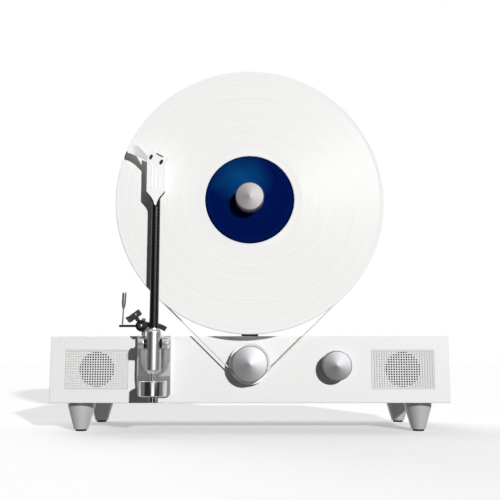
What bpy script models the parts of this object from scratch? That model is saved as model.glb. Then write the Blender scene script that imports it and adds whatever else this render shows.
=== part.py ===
"""Vertical record player: a low lacquered cabinet on four turned feet, with the record
standing in front of its top edge on a belt-driven platter and a tonearm on its front face.

Units are metres, +Z is up, +X is to the right seen from the front. The origin is on the
floor, under the middle of the whole player. Heights in front of the cabinet's front face
are called reaches: they grow towards the listener, along -Y.
"""
import bpy
import bmesh
from math import asin, atan2, cos, hypot, pi, radians, sin

# Driving dimensions
BASE_WIDTH = 0.445
BASE_HEIGHT = 0.0737
BASE_DEPTH = 0.170
FOOT_HEIGHT = 0.0323
SPINDLE_HEIGHT = 0.258
RECORD_RADIUS = 0.1508
PLATTER_RADIUS = 0.1502
BELT_REACH = 0.0094
PULLEY_HEIGHT = 0.0753
ARM_SIDE_INSET = 0.1190
ARM_HEIGHT = 0.0972
ARM_REACH = 0.0325
EFFECTIVE_LENGTH = 0.2100
OFFSET_ANGLE = radians(27)

# Clearances
SEAT = 0.0003
RUN = 0.0003
OVERRUN = 0.002
MERGE_DISTANCE = 0.00001

# Cabinet
WALL = 0.009
CABINET_EDGE = 0.0008
BACK_THICKNESS = 0.003
REBATE = 0.0045

# Feet
FOOT_SIDE_INSET = 0.0311
FOOT_INSET = 0.026
FOOT_TOP_RADIUS = 0.0153
FOOT_TIP_RADIUS = 0.0077
FOOT_COLLAR = 0.0042
FOOT_GROOVE = 0.0006
FOOT_STUD_RADIUS = 0.003
FOOT_STUD_LENGTH = 0.012
PAD_RADIUS = 0.0058
PAD_PROUD = 0.0009

# Loudspeakers
GRILLE_SIDE_INSET = 0.052
GRILLE_WIDTH = 0.0695
GRILLE_HEIGHT = 0.0424
GRILLE_THICKNESS = 0.001
DRIVER_OPENING = 0.0195
DRIVER_FLANGE = 0.0255
DRIVER_FLANGE_THICKNESS = 0.0025
DRIVER_DEPTH = 0.024
MAGNET_RADIUS = 0.0165
MAGNET_HEIGHT = 0.010
CONE_THICKNESS = 0.0008
CONE_DEPTH = 0.0085
CONE_NECK = 0.006
CONE_CAP_RISE = 0.003
CONE_CAP_SHOULDER_SHARE = 0.75

# Record, label and clamp
RECORD_THICKNESS = 0.0018
RECORD_BEVEL = 0.0004
LABEL_RADIUS = 0.0503
LABEL_THICKNESS = 0.0003
CLAMP_RADIUS = 0.0157
CLAMP_HEIGHT = 0.0165
CLAMP_CONE = 0.0032
CLAMP_CHAMFER = 0.0006

# Platter, spindle and column
PLATTER_THICKNESS = 0.014
PLATTER_EDGE = 0.0008
RECORD_REACH = 0.0196
GROOVE_WIDTH = 0.0028
SPINDLE_TIP = 0.00355
SPINDLE_TIP_LENGTH = 0.0125
SPINDLE_RADIUS = 0.0042
HUB_RADIUS = 0.011
HUB_THICKNESS = 0.0009
SPINDLE_HEAD_RADIUS = 0.0064
SPINDLE_HEAD_LENGTH = 0.0022
BEARING_RADIUS = 0.008
BEARING_LENGTH = 0.005
HOUSING_NOSE = 0.014
HOUSING_RADIUS = 0.020
HOUSING_FLANGE = 0.0255
HOUSING_FLANGE_THICKNESS = 0.004
HOUSING_TAIL = 0.004
COLUMN_WIDTH = 0.019
COLUMN_DEPTH = 0.014
COLUMN_SETBACK = 0.012
COLUMN_HEAD_RADIUS = 0.0265
COLUMN_EDGE = 0.0012
COLUMN_FLANGE_WIDTH = 0.058
COLUMN_FLANGE_DEPTH = 0.034
COLUMN_FLANGE_THICKNESS = 0.0055
COLUMN_STUD_RADIUS = 0.0025
COLUMN_STUD_LENGTH = 0.006
COLUMN_STUD_INSET = 0.0075

# Drive
BELT_RADIUS = 0.00075
PULLEY_ROOT = 0.01825
PULLEY_FLANGE = 0.0228
PULLEY_FLANGE_THICKNESS = 0.003
PULLEY_GROOVE = 0.0036
CAP_RADIUS = 0.0198
CAP_THICKNESS = 0.0083
CAP_CONE = 0.0036
SHAFT_RADIUS = 0.0015
SHAFT_CLEARANCE_HOLE = 0.0045
MOTOR_RADIUS = 0.014
MOTOR_LENGTH = 0.028
MOTOR_SOCKET = 0.012
MOTOR_LUG_HEIGHT = 0.011
MOTOR_LUG_THICKNESS = 0.002
MOTOR_LUG_ROOT_SHARE = 0.75
MOTOR_SCREW_RADIUS = 0.0012
MOTOR_SCREW_HEAD = 0.0019
MOTOR_SCREW_HEAD_HEIGHT = 0.0012
MOTOR_SCREW_LENGTH = 0.006

# Volume control
KNOB_SIDE_INSET = 0.1267
KNOB_HEIGHT = 0.0733
KNOB_RADIUS = 0.0163
KNOB_LENGTH = 0.0140
KNOB_CONE = 0.0028
KNOB_CHAMFER = 0.0005
KNOB_GAP = 0.0008
KNOB_SOCKET = 0.0095
POT_SHAFT_RADIUS = 0.002
POT_BUSH_RADIUS = 0.0035
POT_RADIUS = 0.0085
POT_LENGTH = 0.010
POT_SHAFT_DEPTH = 0.006

# Electronics
BOARD_WIDTH = 0.110
BOARD_DEPTH = 0.074
BOARD_THICKNESS = 0.0016
BOARD_SIDE_INSET = 0.1505
BOARD_FROM_BACK = 0.062
BOARD_LIFT = 0.007
BRACKET_THICKNESS = 0.0015
INLET_SIDE_INSET = 0.0725
INLET_RADIUS = 0.0052
INLET_FLANGE = 0.0078
INLET_FLANGE_THICKNESS = 0.0014
INLET_LENGTH = 0.012
INLET_HOLE = 0.0033
INLET_HOLE_DEPTH = 0.0095
SWITCH_SIDE_INSET = 0.1045
SWITCH_WIDTH = 0.0135
SWITCH_HEIGHT = 0.0190
SWITCH_RIM = 0.0016
SWITCH_RIM_THICKNESS = 0.0014
SWITCH_DEPTH = 0.014
SWITCH_WALL = 0.0011
ROCKER_SETBACK = 0.0010
ROCKER_THICKNESS = 0.0062
ROCKER_ANGLE = radians(9)

# Tonearm board and bearing
ARMBOARD_SIDE_INSET = 0.1163
ARMBOARD_HALF_WIDTH = 0.0184
ARMBOARD_HEIGHT = 0.0671
ARMBOARD_THICKNESS = 0.0083
ARMBOARD_CORNER = 0.0045
ARMBOARD_TAPER_HEIGHT = 0.0230
ARMBOARD_TAPER = 0.0050
ARMBOARD_BOLT_X = 0.0105
ARMBOARD_BOLT_RISE = 0.0075
ARMBOARD_BOLT_RADIUS = 0.002
ARMBOARD_BOLT_HEAD = 0.0034
ARMBOARD_BOLT_HEAD_HEIGHT = 0.0018
SWING_BEARING_RADIUS = 0.008
SWING_BEARING_FLANGE = 0.0110
SWING_BEARING_FLANGE_THICKNESS = 0.0021
AXLE_RADIUS = 0.003
AXLE_HEAD_RADIUS = 0.0052
AXLE_HEAD_LENGTH = 0.0014

# Gimbal yoke
YOKE_HALF_WIDTH = 0.0165
YOKE_THICKNESS = 0.004
YOKE_TOP = 0.006
YOKE_DROP = 0.0172
YOKE_ARM_INNER = 0.0100
YOKE_ARM_OUTER = 0.0155
YOKE_ARM_HEIGHT = 0.0095
BOSS_RADIUS = 0.0065
BOSS_INNER = 0.0097
BOSS_OUTER = 0.0158
PIVOT_SCREW_RADIUS = 0.0022
PIVOT_PIN_RADIUS = 0.0009
PIVOT_PIN_DEPTH = 0.0018
PIVOT_NUT_RADIUS = 0.0050
PIVOT_NUT_THICKNESS = 0.0010
PIVOT_SCREW_PROUD = 0.0006

# Arm: sleeve, tube, headshell, cartridge, counterweight
SLEEVE_RADIUS = 0.0080
SLEEVE_TOP = 0.0139
SLEEVE_BOTTOM = 0.0285
SLEEVE_TAPER = 0.0038
SLEEVE_TIP_RADIUS = 0.0048
COLLAR_RADIUS = 0.0057
COLLAR_HEIGHT = 0.0024
TUBE_RADIUS = 0.0050
TUBE_TIP_RADIUS = 0.0046
TUBE_WALL = 0.0010
TUBE_SOCKET = 0.016
ROD_RADIUS = 0.00265
ROD_SOCKET = 0.0075
WEIGHT_RADIUS = 0.0147
WEIGHT_HEIGHT = 0.0160
WEIGHT_GAP = 0.0074
WEIGHT_CHAMFER = 0.0012
END_CAP_RADIUS = 0.0039
END_CAP_HEIGHT = 0.0066
END_CAP_SOCKET = 0.0040
SHELL_THICKNESS = 0.0025
SHELL_HALF_WIDTH = 0.0098
SHELL_SCREW_DISTANCE = 0.2013
SHELL_FRONT_MARGIN = 0.0080
SHELL_SHOULDER = 0.1657
SHELL_TAIL = 0.1503
SHELL_TAIL_WIDTH = 0.0008
SHELL_TAIL_WAIST_SHARES = (0.5, 0.4)
SHELL_SOCKET_RADIUS = 0.0062
SHELL_SOCKET_LENGTH = 0.014
SLOT_SPACING = 0.0127
SLOT_RADIUS = 0.0017
SLOT_LENGTH = 0.0060
SHELL_NOSE_SIDE = 0.0090
FINGER_LENGTH = 0.0232
FINGER_RISE = 0.0141
FINGER_ROOT = 0.0071
FINGER_BACK = 0.0064
FINGER_TIP = 0.0100
FINGER_UPPER_SHARES = ((0.09, 0.14), (0.3, 0.57), (0.56, 0.94))
FINGER_LOWER_SHARES = ((0.85, 0.82), (0.4, 0.38))
CARTRIDGE_WIDTH = 0.0160
CARTRIDGE_LENGTH = 0.0172
CARTRIDGE_BODY = 0.0120
CARTRIDGE_OVERHANG = 0.0012
CARTRIDGE_EDGE = 0.0012
CARTRIDGE_SCREW_RADIUS = 0.0011
CARTRIDGE_SCREW_HEAD = 0.00135
STYLUS_WIDTH = 0.0090
STYLUS_LENGTH = 0.0110
STYLUS_BODY = 0.0022
STYLUS_TIP_SIZE = 0.0008

# Arm lift and arm rest
LIFT_X = -0.0149
LIFT_HEIGHT = 0.0194
LIFT_RADIUS = 0.0064
LIFT_REACH = 0.0240
LIFT_LENGTH = 0.0215
POST_RADIUS = 0.00225
POST_REACH = 0.0052
POST_PROUD = 0.0026
BAR_RADIUS = 0.0340
BAR_CENTRE_X = -0.0057
BAR_CENTRE_DROP = 0.0135
BAR_WIDTH = 0.0054
BAR_THICKNESS = 0.0022
BAR_LEFT = radians(21)
BAR_RIGHT = radians(32)
BAR_PIN_RADIUS = 0.0020
BAR_PIN_LENGTH = 0.0068
LEVER_SHAFT_RADIUS = 0.0013
LEVER_SHAFT_END = 0.0402
LEVER_SHAFT_INNER_SHARE = 0.66
LEVER_X = 0.0367
LEVER_LEAN = radians(2.4)
LEVER_ROD_RADIUS = 0.00085
LEVER_ROD_LENGTH = 0.0160
LEVER_GRIP_RADIUS = 0.0025
LEVER_GRIP_LENGTH = 0.0200
LEVER_GRIP_TAPER = 0.0075
CLIP_ANGLE = radians(36)
CLIP_RADIUS = 0.0374
CLIP_LENGTH = 0.0180
CLIP_WIDTH = 0.0066
CLIP_DEPTH = 0.0042
CLIP_HOOK_WIDTH = 0.0026
CLIP_HOOK_REACH = 0.0050
CLIP_SADDLE_GAP = 0.0006
CLIP_STALK_WIDTH = 0.0042
CLIP_STALK_DEPTH = 0.0060

# Facets round a full turn
ROUND_RECORD = 72
ROUND_LARGE = 40
ROUND_MEDIUM = 24
ROUND_SMALL = 12
ROUND_TINY = 10
CORNER_STEPS = 6
YOKE_ARC_STEPS = 16
BAR_STEPS = 16
BELT_PLATTER_STEPS = 60
BELT_PULLEY_STEPS = 16

# Worked-out places
BASE_TOP = FOOT_HEIGHT + BASE_HEIGHT
BASE_MIDDLE = FOOT_HEIGHT + BASE_HEIGHT / 2
FRONT_LIMIT = ARM_REACH + WEIGHT_RADIUS
ROCKER_HEIGHT = SWITCH_HEIGHT - 2 * SWITCH_WALL - 2 * ROCKER_SETBACK
REAR_LIMIT = (ROCKER_THICKNESS * cos(ROCKER_ANGLE) + ROCKER_HEIGHT * sin(ROCKER_ANGLE)) / 2
FACE_Y = (FRONT_LIMIT - REAR_LIMIT - BASE_DEPTH) / 2
BACK_Y = FACE_Y + BASE_DEPTH
ARM_X = ARM_SIDE_INSET - BASE_WIDTH / 2
ARMBOARD_X = ARMBOARD_SIDE_INSET - BASE_WIDTH / 2
FOOT_X = BASE_WIDTH / 2 - FOOT_SIDE_INSET
GRILLE_X = BASE_WIDTH / 2 - GRILLE_SIDE_INSET
KNOB_X = BASE_WIDTH / 2 - KNOB_SIDE_INSET
BOARD_X = BOARD_SIDE_INSET - BASE_WIDTH / 2
BOARD_REACH = BOARD_FROM_BACK - BASE_DEPTH
INLET_X = INLET_SIDE_INSET - BASE_WIDTH / 2
SWITCH_X = SWITCH_SIDE_INSET - BASE_WIDTH / 2
INNER_REACH = -WALL - SEAT
INNER_BOTTOM = FOOT_HEIGHT + WALL
INNER_TOP = BASE_TOP - WALL
PLATTER_FRONT = RECORD_REACH - RECORD_THICKNESS - SEAT
PLATTER_BACK = PLATTER_FRONT - PLATTER_THICKNESS
BELT_PLATTER_RADIUS = PLATTER_RADIUS - SEAT
BELT_PULLEY_RADIUS = PULLEY_ROOT + SEAT + BELT_RADIUS
ARMBOARD_FRONT = SEAT + ARMBOARD_THICKNESS
YOKE_BACK = ARMBOARD_FRONT + SWING_BEARING_FLANGE_THICKNESS + SEAT + RUN
YOKE_FRONT = YOKE_BACK + YOKE_THICKNESS
ARMBOARD_BOLT_HEIGHT = BASE_TOP - ARMBOARD_HEIGHT + ARMBOARD_BOLT_RISE
MOTOR_SCREW_X = MOTOR_RADIUS + MOTOR_SCREW_HEAD + 2 * SEAT
MOTOR_LUG_WIDTH = 2 * (MOTOR_SCREW_X + MOTOR_SCREW_HEAD)
MOTOR_PILOT_END = INNER_REACH - MOTOR_LUG_THICKNESS + MOTOR_SCREW_LENGTH + SEAT
COLUMN_FLANGE_SHIFT = COLUMN_FLANGE_DEPTH / 2 - COLUMN_SETBACK + WALL + SEAT
HOUSING_FRONT = PLATTER_BACK - 2 * SEAT - HUB_THICKNESS
PIVOT_SCREW_END = BOSS_OUTER + PIVOT_SCREW_PROUD
PIVOT_NUT_FACE = BOSS_INNER - SEAT
PIVOT_TIP = SLEEVE_RADIUS - PIVOT_PIN_DEPTH
STYLUS_AHEAD = EFFECTIVE_LENGTH - SHELL_SCREW_DISTANCE
BAR_GAP = 2 * RUN + SEAT
LEVER_SHAFT_INNER = LIFT_X + LIFT_RADIUS * LEVER_SHAFT_INNER_SHARE

# Turns that point a piece's own Z axis out of the front, up, to the right or out of the back
FRONT = (pi / 2, 0, 0)
UP = (0, 0, 0)
RIGHT = (0, pi / 2, 0)
BACK = (-pi / 2, 0, 0)
HANDS = (("left", -1), ("right", 1))


def clear_scene():
    for old in list(bpy.data.objects):
        bpy.data.objects.remove(old, do_unlink=True)


def new_collection(name):
    group = bpy.data.collections.new(name)
    bpy.context.scene.collection.children.link(group)
    return group


def material(name, colour, roughness, metallic=0):
    """A Principled material with one colour, linear red, green and blue."""
    finish = bpy.data.materials.new(name)
    finish.use_nodes = True
    shader = finish.node_tree.nodes["Principled BSDF"]
    shader.inputs["Base Color"].default_value = (*colour, 1)
    shader.inputs["Roughness"].default_value = roughness
    shader.inputs["Metallic"].default_value = metallic
    finish.diffuse_color = (*colour, 1)
    return finish


clear_scene()
PARTS = new_collection("vertical_record_player")
CUTTERS = new_collection("cutters")

WHITE_LACQUER = material("white_lacquer", (0.86, 0.86, 0.87), 0.35)
WHITE_MESH = material("white_mesh", (0.72, 0.72, 0.73), 0.5)
WHITE_VINYL = material("white_vinyl", (0.84, 0.84, 0.85), 0.3)
WHITE_PLASTIC = material("white_plastic", (0.82, 0.82, 0.82), 0.4)
BLUE_PAPER = material("blue_paper", (0.01, 0.03, 0.16), 0.5)
SPUN_ALUMINIUM = material("spun_aluminium", (0.66, 0.66, 0.67), 0.3, 1)
SATIN_ALUMINIUM = material("satin_aluminium", (0.52, 0.52, 0.53), 0.42, 1)
POLISHED_ALUMINIUM = material("polished_aluminium", (0.7, 0.7, 0.71), 0.14, 1)
POLISHED_STEEL = material("polished_steel", (0.7, 0.7, 0.71), 0.12, 1)
PLAIN_STEEL = material("plain_steel", (0.5, 0.5, 0.5), 0.35, 1)
BLACK_METAL = material("black_metal", (0.02, 0.02, 0.02), 0.4)
BLACK_PLASTIC = material("black_plastic", (0.015, 0.015, 0.015), 0.45)
BLACK_PAPER = material("black_paper", (0.03, 0.03, 0.03), 0.8)
CARBON_FIBRE = material("carbon_fibre", (0.02, 0.02, 0.022), 0.25)
CLEAR_BELT = material("clear_belt", (0.7, 0.7, 0.7), 0.4)
GREEN_BOARD = material("green_board", (0.02, 0.12, 0.05), 0.5)


def front_point(x, height, reach=0):
    """The world place of a point given from the front face."""
    return (x, FACE_Y - reach, height)


def place(name, mesh, finish, at, turn):
    piece = bpy.data.objects.new(name, mesh)
    piece.location = at
    piece.rotation_euler = turn
    mesh.materials.append(finish)
    PARTS.objects.link(piece)
    return piece


def from_bmesh(name, shape, finish, at=(0, 0, 0), turn=UP):
    mesh = bpy.data.meshes.new(name)
    shape.to_mesh(mesh)
    shape.free()
    return place(name, mesh, finish, at, turn)


def turned(name, profile, finish, at, turn=FRONT, steps=ROUND_MEDIUM, ring=False):
    """A lathe-turned piece from (radius, height) points, running down its outer side.

    A ring's profile closes on itself; any other starts and ends on the axis.
    """
    shape = bmesh.new()
    points = [shape.verts.new((radius, 0, height)) for radius, height in profile]
    for first, second in zip(points, points[1:]):
        shape.edges.new((first, second))
    if ring:
        shape.edges.new((points[-1], points[0]))
    piece = from_bmesh(name, shape, finish, at, turn)
    lathe = piece.modifiers.new("lathe", "SCREW")
    lathe.steps = steps
    lathe.render_steps = steps
    lathe.use_merge_vertices = True
    lathe.merge_threshold = MERGE_DISTANCE
    lathe.use_smooth_shade = True
    piece.modifiers.new("shading", "WEIGHTED_NORMAL")
    return piece


def box(name, size, finish, at, turn=UP, edge=0, segments=2):
    """A block centred on its place, its edges rounded when edge is given."""
    shape = bmesh.new()
    bmesh.ops.create_cube(shape, size=1)
    bmesh.ops.scale(shape, vec=size, verts=shape.verts)
    piece = from_bmesh(name, shape, finish, at, turn)
    if edge:
        rounding = piece.modifiers.new("edges", "BEVEL")
        rounding.width = edge
        rounding.segments = segments
    return piece


def peg(name, stages, finish, at, turn=FRONT, steps=ROUND_TINY):
    """A pin, screw or stepped bore of (radius, low, high) stages, the top one first."""
    profile = [(0, stages[0][2])]
    for radius, low, high in stages:
        profile += [(radius, high), (radius, low)]
    profile.append((0, stages[-1][1]))
    return turned(name, profile, finish, at, turn, steps)


def slab(name, outline, thickness, finish, at, turn=FRONT):
    """A flat plate from a closed outline, its back face at the place it is given."""
    curve = bpy.data.curves.new(name, "CURVE")
    curve.dimensions = "2D"
    curve.fill_mode = "BOTH"
    curve.extrude = thickness / 2
    line = curve.splines.new("POLY")
    line.points.add(len(outline) - 1)
    line.use_cyclic_u = True
    for point, (x, y) in zip(line.points, outline):
        point.co = (x, y, 0, 1)
    guide = bpy.data.objects.new(name + "_outline", curve)
    PARTS.objects.link(guide)
    mesh = bpy.data.meshes.new_from_object(guide.evaluated_get(
        bpy.context.evaluated_depsgraph_get()))
    bpy.data.objects.remove(guide, do_unlink=True)
    mesh.materials.clear()
    shape = bmesh.new()
    shape.from_mesh(mesh)
    bmesh.ops.remove_doubles(shape, verts=shape.verts, dist=MERGE_DISTANCE)
    bmesh.ops.translate(shape, vec=(0, 0, thickness / 2), verts=shape.verts)
    bmesh.ops.recalc_face_normals(shape, faces=shape.faces)
    bpy.data.meshes.remove(mesh)
    return from_bmesh(name, shape, finish, at, turn)


def arc(centre, radius, start, end, count):
    """Points on an arc, at angles from the X axis."""
    return [(centre[0] + radius * cos(start + (end - start) * step / count),
             centre[1] + radius * sin(start + (end - start) * step / count))
            for step in range(count + 1)]


def as_cutter(piece):
    PARTS.objects.unlink(piece)
    CUTTERS.objects.link(piece)
    piece.hide_render = True
    piece.display_type = "WIRE"
    return piece


def combine(piece, other, operation):
    step = piece.modifiers.new(other.name, "BOOLEAN")
    step.operation = operation
    step.object = other
    step.solver = "EXACT"


def cut(piece, *others):
    for other in others:
        combine(piece, as_cutter(other), "DIFFERENCE")


def join(piece, *others):
    for other in others:
        combine(piece, as_cutter(other), "UNION")


def axis_empty(name, at, children):
    """An empty on a joint's axis that carries the pieces which move about it."""
    axis = bpy.data.objects.new(name, None)
    axis.location = at
    PARTS.objects.link(axis)
    for child in children:
        child.parent = axis
        child.location = [own - origin for own, origin in zip(child.location, at)]
    return axis


def make_cabinet():
    """The lacquered case: front, top, bottom and sides in one, open at the back."""
    cabinet = box("cabinet", (BASE_WIDTH, BASE_DEPTH, BASE_HEIGHT), WHITE_LACQUER,
                  front_point(0, BASE_MIDDLE, -BASE_DEPTH / 2), edge=CABINET_EDGE)
    cavity_depth = BASE_DEPTH - WALL + OVERRUN
    cut(cabinet, box("cavity_cutter",
                     (BASE_WIDTH - 2 * WALL, cavity_depth, BASE_HEIGHT - 2 * WALL),
                     WHITE_LACQUER, front_point(0, BASE_MIDDLE, -WALL - cavity_depth / 2)))
    rebate_depth = BACK_THICKNESS + SEAT
    cut(cabinet, box("rebate_cutter",
                     (BASE_WIDTH - 2 * REBATE, rebate_depth + OVERRUN, BASE_HEIGHT - 2 * REBATE),
                     WHITE_LACQUER,
                     (0, BACK_Y - rebate_depth + (rebate_depth + OVERRUN) / 2, BASE_MIDDLE)))
    for side in (-1, 1):
        cut(cabinet,
            box(f"grille_recess_cutter_{side}",
                (GRILLE_WIDTH + 2 * SEAT, GRILLE_THICKNESS + SEAT + OVERRUN,
                 GRILLE_HEIGHT + 2 * SEAT),
                WHITE_LACQUER,
                front_point(side * GRILLE_X, BASE_MIDDLE,
                            (OVERRUN - GRILLE_THICKNESS - SEAT) / 2)),
            through_hole(f"driver_hole_cutter_{side}", side * GRILLE_X, BASE_MIDDLE,
                         DRIVER_OPENING, ROUND_MEDIUM),
            through_hole(f"armboard_bolt_cutter_{side}", ARMBOARD_X + side * ARMBOARD_BOLT_X,
                         ARMBOARD_BOLT_HEIGHT, ARMBOARD_BOLT_RADIUS + SEAT, ROUND_TINY),
            peg(f"motor_pilot_cutter_{side}",
                [(MOTOR_SCREW_RADIUS + SEAT, INNER_REACH - OVERRUN, MOTOR_PILOT_END)],
                WHITE_LACQUER, front_point(side * MOTOR_SCREW_X, PULLEY_HEIGHT)))
        for inset in (FOOT_INSET, BASE_DEPTH - FOOT_INSET):
            cut(cabinet, peg(f"foot_hole_cutter_{side}_{inset}",
                             [(FOOT_STUD_RADIUS + SEAT, -OVERRUN, WALL + OVERRUN)],
                             WHITE_LACQUER, front_point(side * FOOT_X, FOOT_HEIGHT, -inset), UP))
    cut(cabinet,
        through_hole("shaft_hole_cutter", 0, PULLEY_HEIGHT, SHAFT_CLEARANCE_HOLE, ROUND_SMALL),
        through_hole("pot_hole_cutter", KNOB_X, KNOB_HEIGHT, POT_BUSH_RADIUS + SEAT, ROUND_SMALL),
        box("column_slot_cutter",
            (COLUMN_WIDTH + 2 * SEAT, COLUMN_DEPTH + 2 * SEAT, WALL + 2 * OVERRUN),
            WHITE_LACQUER,
            front_point(0, BASE_TOP - WALL / 2, -COLUMN_SETBACK - COLUMN_DEPTH / 2)))
    for number, (x, y) in enumerate(column_stud_places()):
        cut(cabinet, peg(f"column_pilot_cutter_{number}",
                         [(COLUMN_STUD_RADIUS + SEAT, -OVERRUN, COLUMN_STUD_LENGTH + SEAT)],
                         WHITE_LACQUER, (x, y, INNER_TOP), UP))


def through_hole(name, x, height, radius, steps):
    """A cutter through the cabinet's front wall."""
    return peg(name, [(radius, -WALL - OVERRUN, OVERRUN)], WHITE_LACQUER,
               front_point(x, height), FRONT, steps)


def make_back_panel():
    """The plain rear plate, let into the cabinet's rebate."""
    panel = box("back_panel", (BASE_WIDTH - 2 * REBATE - 2 * SEAT, BACK_THICKNESS,
                               BASE_HEIGHT - 2 * REBATE - 2 * SEAT), BLACK_PLASTIC,
                (0, BACK_Y - BACK_THICKNESS / 2, BASE_MIDDLE))
    cut(panel,
        peg("inlet_hole_cutter",
            [(INLET_RADIUS + SEAT, -BACK_THICKNESS - OVERRUN, OVERRUN)], BLACK_PLASTIC,
            (INLET_X, BACK_Y, BASE_MIDDLE), BACK, ROUND_SMALL),
        box("switch_hole_cutter",
            (SWITCH_WIDTH + 2 * SEAT, 2 * BACK_THICKNESS + 2 * OVERRUN,
             SWITCH_HEIGHT + 2 * SEAT),
            BLACK_PLASTIC, (SWITCH_X, BACK_Y, BASE_MIDDLE)))


def make_foot(name, x, inset):
    """A turned cone with a shadow groove under its collar, a stud above and a pad below."""
    top = FOOT_HEIGHT - SEAT
    below = top - FOOT_COLLAR
    slope = (FOOT_TOP_RADIUS - FOOT_TIP_RADIUS) / below
    return turned(name,
                  [(0, top + FOOT_STUD_LENGTH),
                   (FOOT_STUD_RADIUS, top + FOOT_STUD_LENGTH),
                   (FOOT_STUD_RADIUS, top),
                   (FOOT_TOP_RADIUS, top),
                   (FOOT_TOP_RADIUS, below),
                   (FOOT_TOP_RADIUS - FOOT_GROOVE, below),
                   (FOOT_TOP_RADIUS - FOOT_GROOVE, below - FOOT_GROOVE),
                   (FOOT_TOP_RADIUS - slope * FOOT_GROOVE, below - FOOT_GROOVE),
                   (FOOT_TIP_RADIUS, PAD_PROUD),
                   (PAD_RADIUS, PAD_PROUD),
                   (PAD_RADIUS, 0),
                   (0, 0)],
                  SATIN_ALUMINIUM, front_point(x, 0, -inset), UP, ROUND_MEDIUM)


def make_feet():
    for end, inset in (("front", FOOT_INSET), ("rear", BASE_DEPTH - FOOT_INSET)):
        for hand, side in HANDS:
            make_foot(f"foot_{end}_{hand}", side * FOOT_X, inset)


def make_speaker(hand, side):
    """A grille let into the front, and the small full-range driver behind it."""
    x = side * GRILLE_X
    box(f"{hand}_grille", (GRILLE_WIDTH, GRILLE_THICKNESS, GRILLE_HEIGHT), WHITE_MESH,
        front_point(x, BASE_MIDDLE, -GRILLE_THICKNESS / 2))
    front = INNER_REACH
    rear = front - DRIVER_DEPTH
    rim = DRIVER_OPENING
    turned(f"{hand}_driver_frame",
           [(0, rear + MAGNET_HEIGHT / 2),
            (CONE_NECK + CONE_THICKNESS, rear + MAGNET_HEIGHT / 2),
            (CONE_NECK + CONE_THICKNESS, front - CONE_DEPTH - DRIVER_FLANGE_THICKNESS),
            (rim, front),
            (DRIVER_FLANGE, front),
            (DRIVER_FLANGE, front - DRIVER_FLANGE_THICKNESS),
            (rim + CONE_THICKNESS, front - DRIVER_FLANGE_THICKNESS),
            (MAGNET_RADIUS, rear + MAGNET_HEIGHT),
            (MAGNET_RADIUS, rear),
            (0, rear)],
           BLACK_METAL, front_point(x, BASE_MIDDLE), FRONT, ROUND_MEDIUM)
    lip = rim - CONE_THICKNESS
    drop = front - CONE_DEPTH
    turned(f"{hand}_driver_cone",
           [(0, drop + CONE_CAP_RISE),
            (CONE_NECK * CONE_CAP_SHOULDER_SHARE, drop + CONE_CAP_RISE / 2),
            (CONE_NECK, drop),
            (lip - CONE_THICKNESS, front),
            (lip, front),
            (CONE_NECK, drop - CONE_THICKNESS),
            (0, drop - CONE_THICKNESS)],
           BLACK_PAPER, front_point(x, BASE_MIDDLE), FRONT, ROUND_MEDIUM)


def column_stud_places():
    """World X and Y of the four studs that hold the column up under the cabinet's top."""
    middle = FACE_Y + COLUMN_SETBACK + COLUMN_FLANGE_SHIFT
    reach_x = COLUMN_FLANGE_WIDTH / 2 - COLUMN_STUD_INSET
    reach_y = COLUMN_FLANGE_DEPTH / 2 - COLUMN_STUD_INSET
    return [(side * reach_x, middle + end * reach_y) for side in (-1, 1) for end in (-1, 1)]


def make_column():
    """The black upright: a flange under the cabinet's top, a post and a round head."""
    centre_reach = -COLUMN_SETBACK - COLUMN_DEPTH / 2
    flange_top = INNER_TOP - SEAT
    foot = flange_top - COLUMN_FLANGE_THICKNESS / 2
    height = SPINDLE_HEIGHT - foot
    column = box("support_column", (COLUMN_WIDTH, COLUMN_DEPTH, height), BLACK_METAL,
                 front_point(0, foot + height / 2, centre_reach), edge=COLUMN_EDGE)
    join(column,
         box("column_flange_guide",
             (COLUMN_FLANGE_WIDTH, COLUMN_FLANGE_DEPTH, COLUMN_FLANGE_THICKNESS), BLACK_METAL,
             (0, FACE_Y + COLUMN_SETBACK + COLUMN_FLANGE_SHIFT, foot)),
         peg("column_head_guide", [(COLUMN_HEAD_RADIUS, -COLUMN_DEPTH / 2, COLUMN_DEPTH / 2)],
             BLACK_METAL, front_point(0, SPINDLE_HEIGHT, centre_reach), FRONT, ROUND_LARGE))
    for number, (x, y) in enumerate(column_stud_places()):
        join(column, peg(f"column_stud_guide_{number}",
                         [(COLUMN_STUD_RADIUS, -COLUMN_FLANGE_THICKNESS / 2,
                           COLUMN_STUD_LENGTH)],
                         BLACK_METAL, (x, y, flange_top), UP))
    cut(column, peg("column_bore_cutter",
                    [(HOUSING_RADIUS + SEAT, -COLUMN_DEPTH, COLUMN_DEPTH)],
                    BLACK_METAL, front_point(0, SPINDLE_HEIGHT, centre_reach), FRONT,
                    ROUND_LARGE))


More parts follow.
